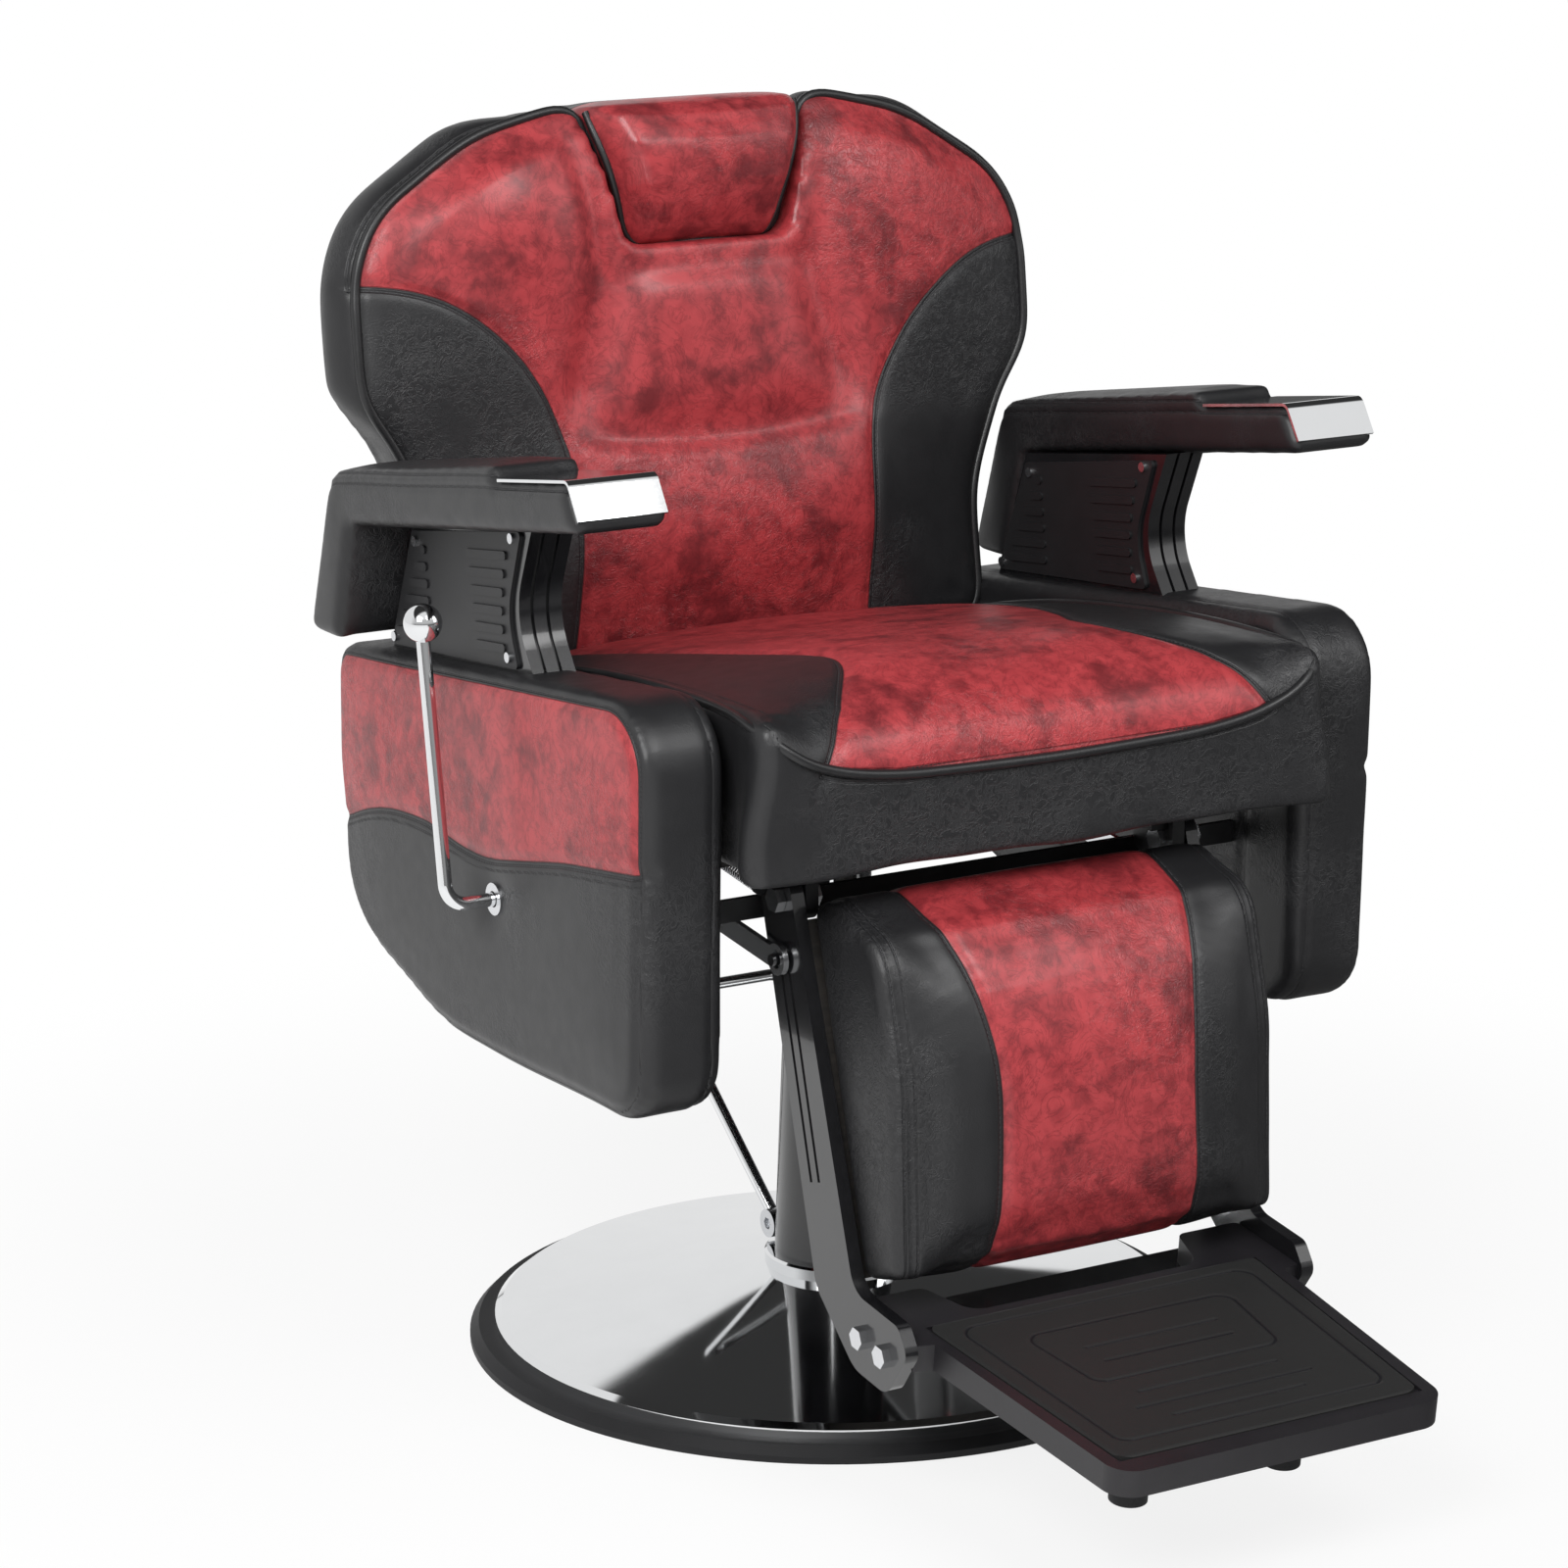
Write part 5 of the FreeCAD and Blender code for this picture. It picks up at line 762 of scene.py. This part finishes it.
back = cushion("backrest_cushion", "back_cushion", 0.0055, 0.014, 0.004, back_freedom, passes=40)
across, depth, height = on_back(get_points(back))
front = step_up(-depth, -24, -2)
inside = np.abs(to_line(np.stack([across, height], 1), back_outline)[0])
inner = step_up(inside, 3, 44)
wide = np.abs(across)
lobe = 19 * np.exp(-((wide - 190) / 82) ** 2 - ((height - 420) / 92) ** 2)
lumbar = 20 * np.exp(-(across / 165) ** 4 - ((height - 112) / 68) ** 2)
trough_line = smooth_line([(92, 420), (98, 372), (106, 330), (118, 280), (132, 235), (140, 205)])
trough_gap, _ = to_line(np.stack([wide, height], 1), trough_line)
trough = -13 * bell(trough_gap, 0, 27) * step_up(height, 190, 250)
middle_panel = 5 * np.exp(-(across / 80) ** 4 - ((height - 290) / 80) ** 4)
crease_middle = 193 + 0.0005 * across ** 2
crease_width = np.where(height > crease_middle, 26, 11)
crease = -8 * bell(height, crease_middle, crease_width) * step_up(-wide, -178, -110)
band = 15 * np.sin(np.clip((depth + 4) / 72, 0, 1) * math.pi)
band = band * step_up(height, 205, 270) * step_up(wide, 140, 230)
press(back, front * inner * (lobe + lumbar + trough + middle_panel + crease) + band)

# %% Back: colour border, stitches and piping
insert_line = smooth_line([
    (400, 352), (345, 352), (318, 351), (288, 345), (256, 333), (224, 310), (196, 283), (176, 254),
    (165, 228), (160, 203), (156, 180), (153, 145), (152, 108), (152, 70), (152, 30), (155, -10),
    (155, -60)])
across, depth, height = on_back(get_points(back))
flat = np.stack([np.abs(across), height], 1)
border, run = to_line(flat, insert_line)
seam = np.minimum(-border, (1 - depth))
press(back, -front * 3.0 * bell(border, 0, 6))
mark(back, seam=seam, run=run, hem=np.full(len(seam), no_row), hemrun=np.zeros(len(seam)))
across, depth, height = on_back(get_points(back))
sewn_across, sewn_height = as_sewn(across, height)
set_points(back, from_back(sewn_across, depth, sewn_height))
settle(back, two_tone_vinyl, "backrest", "backrest_cushion")
rim = even(back_outline, 6)
rim = np.stack(as_sewn(rim[:, 0], rim[:, 1]), 1)
back_rim = lay(back, from_back(rim[:, 0], np.full(len(rim), 1.5), rim[:, 1]), broad_lift)
piping("back_piping", back_rim, broad_piping, True, "backrest")

# %% [markdown]
# ## The headrest
# The headrest is a plump roll with black ends and piping round its face. It slides on its own stem,
# so it is a piece of its own and rides on its own body.

# %% Headrest
def headrest_half(height):
    """Half of the headrest's width, which grows with the height."""
    return 79 + (height - 377.5) / 125 * 33


headrest = cushion(
    "headrest_pad", "headrest_roll", 0.004, 0.006, 0.003,
    lambda points: step_up(-on_back(points)[1], -74, -50) * 0.8)
across, depth, height = on_back(get_points(headrest))
to_end = np.abs(across) / headrest_half(height)
up = (height - 440) / 62
plump = 9 * np.clip(1 - up ** 2, 0, 1) - 20 * step_up(to_end, 0.62, 1.02) ** 2
across, depth = across * (1 - 0.02 * step_up(-depth, -30, 10)), depth - step_up(-depth, -44, -6) * plump
end_gap = headrest_half(height) - 3.5 - np.abs(across)
seam = np.minimum(end_gap, 26 - depth)
mark(headrest, seam=seam, run=height, hem=np.full(len(seam), no_row), hemrun=height)
across, height = as_sewn(across, height)
set_points(headrest, from_back(across, depth, height))
settle(headrest, two_tone_vinyl, "headrest", "headrest_pad")
rise = np.linspace(0, 1, 40)
end_height = 379 + rise * 122
end_across, end_height = as_sewn(headrest_half(end_height) - 3.5, end_height)
end_line = from_back(end_across, -2 - 16 * np.sin(rise * math.pi * 0.95), end_height)
bottom_across, bottom_height = as_sewn(np.linspace(-72, 72, 30), np.full(30, 376.0))
bottom_line = from_back(bottom_across, np.full(30, -4.0), bottom_height)
face_line = np.concatenate([(end_line * (-1, 1, 1))[::-1], bottom_line[1:-1], end_line])
headrest_rim = lay(headrest, even(face_line, 0.005), fine_lift)
piping("headrest_piping", headrest_rim, fine_piping, False, "headrest", passes=14)

# %% [markdown]
# ## The seat cushion
# The seat has a red middle that widens to the front, black corners, piping that runs along the sides
# and dips across the front, and a plain black skirt that flares round the side panels. The front
# rolls over, so the pattern is drawn as if the roll were flattened forwards.

# %% Seat: form
front_rim = smooth_line([(-268, 662), (-262, 648), (-240, 628), (-200, 615), (-150, 609), (-60, 608),
                         (60, 608), (150, 609), (200, 615), (240, 628), (262, 648), (268, 662)], 5, 4)


def on_seat(points):
    """Across and forwards in mm with the front roll laid out flat, height, and gap to the piped rim."""
    x, y, z = (points * 1000).T
    forward = y - np.where(y < -250, np.maximum(0, 664 - z), 0)
    rim_height = np.where(forward < -300, np.interp(x, front_rim[:, 0], front_rim[:, 1]), 655)
    return x, forward, z, np.where(forward < -330, z - rim_height, 262 - np.abs(x))


def seat_freedom(points):
    """Held at the rim and the hem, free on top, and nearly taut on the skirt."""
    x, forward, z, rim_gap = on_seat(points)
    return step_up(np.abs(rim_gap), 3, 50) * np.where(rim_gap < 0, 0.3, 1) * step_up(z, 545, 575)


seat = cushion("seat_cushion", "seat_pad", 0.0055, 0.011, 0.004, seat_freedom)
points = get_points(seat) * 1000
x, y, z = points.T
top = step_up(z, 600, 640)
hollow = -8 * np.exp(-(x / 150) ** 2 - ((y - 10) / 110) ** 2)
thigh = 5 * np.exp(-((np.abs(x) - 90) / 70) ** 2 - ((y + 240) / 70) ** 2)
flare = (4 + 12 * step_up(-z, -640, -560)) * step_up(-y, 300, 338) * step_up(np.abs(x), 170, 268)
hem_wave = 1.3 * np.sin(x / 41 + 1) + 0.6 * np.sin(x / 19)
low_front = step_up(-z, -575, -540) * step_up(-y, 320, 345)
rise = top * (hollow + thigh) - low_front * (2 + hem_wave)
points += np.stack([np.sign(x) * flare, -low_front * hem_wave, rise], 1)
set_points(seat, points / 1000)

# %% Seat: pattern and piping
seat_line = smooth_line([
    (222, 260), (215, 190), (208, 140), (198, 80), (190, 20), (182, -28), (168, -85), (152, -131),
    (136, -165), (126, -190), (126, -218), (138, -250), (158, -280), (178, -312), (192, -335),
    (198, -354), (206, -377), (217, -399), (232, -430), (250, -470)])
x, forward, z, rim_gap = on_seat(get_points(seat))
border, run = to_line(np.stack([np.abs(x), forward], 1), seat_line)
seam = np.minimum(-border, rim_gap)
press(seat, -2.8 * bell(border, 0, 6) * step_up(z, 600, 625))
skirt_row = np.where(z < 570, no_row, np.abs(rim_gap - 7))
mark(seat, seam=seam, run=run, hem=skirt_row, hemrun=np.where(forward < -330, x, forward))
settle(seat, two_tone_vinyl, "seat", "seat_cushion")
rim_points = [(-265, 185, 607), (-265, 130, 622), (-265, 60, 640), (-265, 0, 650), (-265, -80, 657),
              (-265, -160, 661), (-265, -240, 663), (-266, -300, 662), (-266, -340, 655),
              (-252, -356, 640), (-226, -358, 627), (-190, -358, 617), (-140, -358, 611),
              (-60, -358, 609), (0, -358, 608)]
rim_points = rim_points + [(-x_, y_, z_) for x_, y_, z_ in reversed(rim_points[:-1])]
seat_rim = even(np.array(rim_points, float), 7) / 1000
piping("seat_piping", lay(seat, seat_rim, broad_lift), broad_piping, False, "seat", passes=10)

# %% [markdown]
# ## The side panels
# Each panel is a board in a padded cover: red above a wave, black below, with a stitched strip along
# the wave and a black band round the edge between two seams. The left one is made first, and the
# right one is its mirror image with a hole for the recline lever.

# %% Side panels: form
panel_outline = rounded_loop([
    (-297, 326, 48), (70, 326, 300), (249, 380, 96), (262, 526, 120),
    (258, 651 - 258 * math.tan(math.radians(5.5)), 22), (-310, 651 + 310 * math.tan(math.radians(5.5)), 54)])
wave = smooth_line([(330, 462), (249, 470), (220, 483), (185, 495), (144, 504), (74, 508), (17, 500),
                    (-39, 499), (-112, 514), (-184, 529), (-252, 538), (-294, 543), (-360, 548)])


def on_panel(points):
    """Distance inwards from the outer seam, run along it, and how far out in x, in mm."""
    x, y, z = (points * 1000).T
    inside, run = to_line(np.stack([y, z], 1), panel_outline)
    return inside - 4 - 0.9 * np.maximum(0, 361 - np.abs(x)), run, np.abs(x)


def panel_freedom(points):
    from_seam, _, out = on_panel(points)
    return step_up(np.abs(from_seam), 2, 50) * np.where(from_seam < 0, 0.25, 1) * step_up(out, 290, 300)


left_panel = cushion("side_panel_left", "side_pad_left", 0.0055, 0.009, 0.003, panel_freedom, grow=0.005)

# %% Side panels: pattern, mirror image and lever hole
x, y, z = (get_points(left_panel) * 1000).T
edge_gap, edge_run, out = on_panel(get_points(left_panel))
wave_gap, wave_run = to_line(np.stack([y, z], 1), wave)
face = step_up(out, 340, 352)
press(left_panel, -2.6 * bell(wave_gap, 0, 6) * face - 1.8 * bell(edge_gap, 0, 6) - 1.5 * bell(out, 296, 4))
use_wave = np.abs(wave_gap) < np.abs(edge_gap)
rows = np.array([np.abs(edge_gap + 4), np.where(out < 320, np.abs(out - 295), no_row),
                 np.where(edge_gap > 0, np.abs(wave_gap - 9), no_row)])
mark(left_panel, seam=np.minimum(-wave_gap, edge_gap), run=np.where(use_wave, wave_run, edge_run),
     hem=rows.min(0), hemrun=np.where(rows.argmin(0) == 2, wave_run, edge_run))
points = get_points(left_panel)
points[:, 1] += (6 + 8 * step_up(-z, -500, -400)) * step_up(y, 110, 250) / 1000
points[:, 2] += 6 * step_up(-y, 40, 240) * step_up(-z, -430, -345) / 1000
set_points(left_panel, points)
right_panel = mirrored_copy(left_panel, "side_pad_right")
x, y, z = (get_points(right_panel) * 1000).T
press(right_panel, -5 * np.exp(-((y + 50) / 26) ** 2 - ((z - 467) / 26) ** 2) * step_up(-x, 340, 352))
lever_hole, lever_hole_radius = (-0.32, -0.05, 0.467), 0.0072
bpy.ops.mesh.primitive_cylinder_add(vertices=32, radius=lever_hole_radius, depth=0.3, location=lever_hole,
                                    rotation=(0, math.pi / 2, 0))
drill = bpy.context.object
apply_modifier(right_panel, "BOOLEAN", object=drill, operation="DIFFERENCE", solver="EXACT")
bpy.data.objects.remove(drill)
for panel, node in ((left_panel, "side_panel_left"), (right_panel, "side_panel_right")):
    settle(panel, two_tone_vinyl, "seat", node)
print("side panels", len(right_panel.data.vertices), "vertices on the right")

# %% [markdown]
# ## The armrests
# An armrest is a padded bar that bends down into a leg at the back. Its black cover is sewn from a
# top strip and two side faces, so a stitched seam runs along the upper edge of each side.

# %% Arm pads
arm_edge = smooth_line([(262, 640), (252, 690), (232, 752), (214, 786), (196, 792), (150, 799), (60, 811),
                        (-60, 829), (-118, 837), (-200, 848), (-252, 855), (-262, 845), (-272, 815)], 5, 5)


def arm_freedom(points):
    """The long edges are nearly held, the faces between them bulge, and the nose fits its cap."""
    x, y, z = (points * 1000).T
    from_edge = 43 - np.abs(np.abs(x) - 347)
    return (0.3 + 0.7 * step_up(from_edge, 2, 26)) * step_up(y, -125, -85)


left_arm = cushion("armrest_pad_left", "arm_pad_left", 0.0045, 0.005, 0.002, arm_freedom, grow=0.0)
x, y, z = (get_points(left_arm) * 1000).T
gap, run = to_line(np.stack([y, z], 1), arm_edge)
beside = np.abs(np.abs(x) - 347)
press(left_arm, -1.6 * bell(np.abs(gap), 4, 4) * step_up(beside, 34, 40))
arm_row = np.where(beside > 36, np.abs(np.abs(gap) - 5), no_row)
mark(left_arm, seam=np.full(len(x), -no_row), run=run, hem=arm_row, hemrun=run)
right_arm = mirrored_copy(left_arm, "arm_pad_right")
settle(left_arm, black_vinyl, "seat", "armrest_pad_left")
settle(right_arm, black_vinyl, "seat", "armrest_pad_right")

# %% [markdown]
# ## The calf pad
# The pad under the calves has a red strip between two black bands, and sides closed by a double row
# of stitches. It hangs on the leg rest and swings with it.

# %% Calf pad
def calf_freedom(points):
    """Held at its board and along its side edges, and less full at the top, which swings up to the seat."""
    x, y, z = (points * 1000).T
    ahead = -(y + 253) * 0.9641 - (492 - z) * 0.26556
    under_seat = step_up(z, 476, 494)
    return step_up(ahead, 22, 34) * (0.12 + 0.88 * step_up(184 - np.abs(x), 3, 50)) * (1 - 0.6 * under_seat)


calf = cushion("calf_pad", "calf_cushion", 0.0045, 0.009, 0.003, calf_freedom, grow=0.004)
strip = smooth_line([(125, 560), (124, 505), (118, 480), (110, 457), (103, 425), (97, 392), (94, 350),
                     (95, 300), (97, 250), (100, 200), (102, 150)])
x, y, z = (get_points(calf) * 1000).T
border, run = to_line(np.stack([np.abs(x), z], 1), strip)
side_row = np.abs(np.abs(np.abs(x) - 174) - 5)
press(calf, -2.6 * bell(border, 0, 6) - 2.0 * bell(np.abs(x), 174, 5) - 3.6 * step_up(z, 478, 495))
mark(calf, seam=-border, run=run, hem=side_row, hemrun=z - y)
settle(calf, two_tone_vinyl, "leg_rest", "calf_pad")

# %% [markdown]
# ## The footplate's rubber mat
# The mat is moulded with a pattern of narrow channels: a loop near its edge, a smaller loop with two
# bars in it, and three bars towards the toes. A fine grid is extruded into a slab, and its top is
# pressed in along those lines. It is drawn flat and then tipped with the footplate.

# %% Mat
mat_rear, mat_front, mat_base, mat_top = -34, -291, 14.6, 18.4
channels = [
    rounded_loop([(-128, -268, 14), (128, -268, 14), (143, -50, 16), (-143, -50, 16)]),
    rounded_loop([(-89, -176, 13), (89, -176, 13), (101, -83, 14), (-101, -83, 14)])]
channels += [np.array([(-half, y_), (half, y_)], float) for half, y_ in (
    (64, -120), (62, -146), (67, -202), (84, -225), (63, -246))]
bpy.ops.mesh.primitive_grid_add(x_subdivisions=220, y_subdivisions=176, size=2, location=(0, 0, 0))
mat = bpy.context.object
mat.name = "grooved_mat"
across, along, _ = get_points(mat).T
y_flat = (mat_rear + mat_front) / 2 + along * (mat_rear - mat_front) / 2
to_corner = np.maximum(0, 12 - np.minimum(mat_rear - y_flat, y_flat - mat_front))
half = np.interp(y_flat, (mat_front, mat_rear), (144, 163)) - (12 - np.sqrt(144 - to_corner ** 2))
set_points(mat, np.stack([across * half, y_flat, np.full(len(half), mat_base)], 1) / 1000)
choose_only(mat)
bpy.ops.object.mode_set(mode="EDIT")
bpy.ops.mesh.select_all(action="SELECT")
bpy.ops.mesh.extrude_region_move(TRANSFORM_OT_translate={"value": (0, 0, (mat_top - mat_base) / 1000)})
bpy.ops.mesh.select_all(action="SELECT")
bpy.ops.mesh.normals_make_consistent(inside=False)
bpy.ops.object.mode_set(mode="OBJECT")
x, y, z = (get_points(mat) * 1000).T
half = np.interp(y, (mat_front, mat_rear), (144, 163))
to_rim = np.minimum(half - np.abs(x), np.minimum(mat_rear - y, y - mat_front))
channel = bell(to_nearest(np.stack([x, y], 1), channels), 0, 1.5)
z = z - (z > mat_base + 1) * (1.3 * channel + 1.2 * (1 - step_up(to_rim, 0, 2.5)))
mark(mat, channel=channel)
tip_y, tip_z = 0.1184, 0.99297
set_points(mat, np.stack([x, -383 + tip_z * y - tip_y * z, 151 + tip_y * y + tip_z * z], 1) / 1000)
bpy.ops.object.shade_smooth_by_angle(angle=math.radians(50))
dress(mat, grooved_rubber)
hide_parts("footplate_mat")
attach(mat, "leg_rest")
print("mat", len(mat.data.vertices), "vertices")
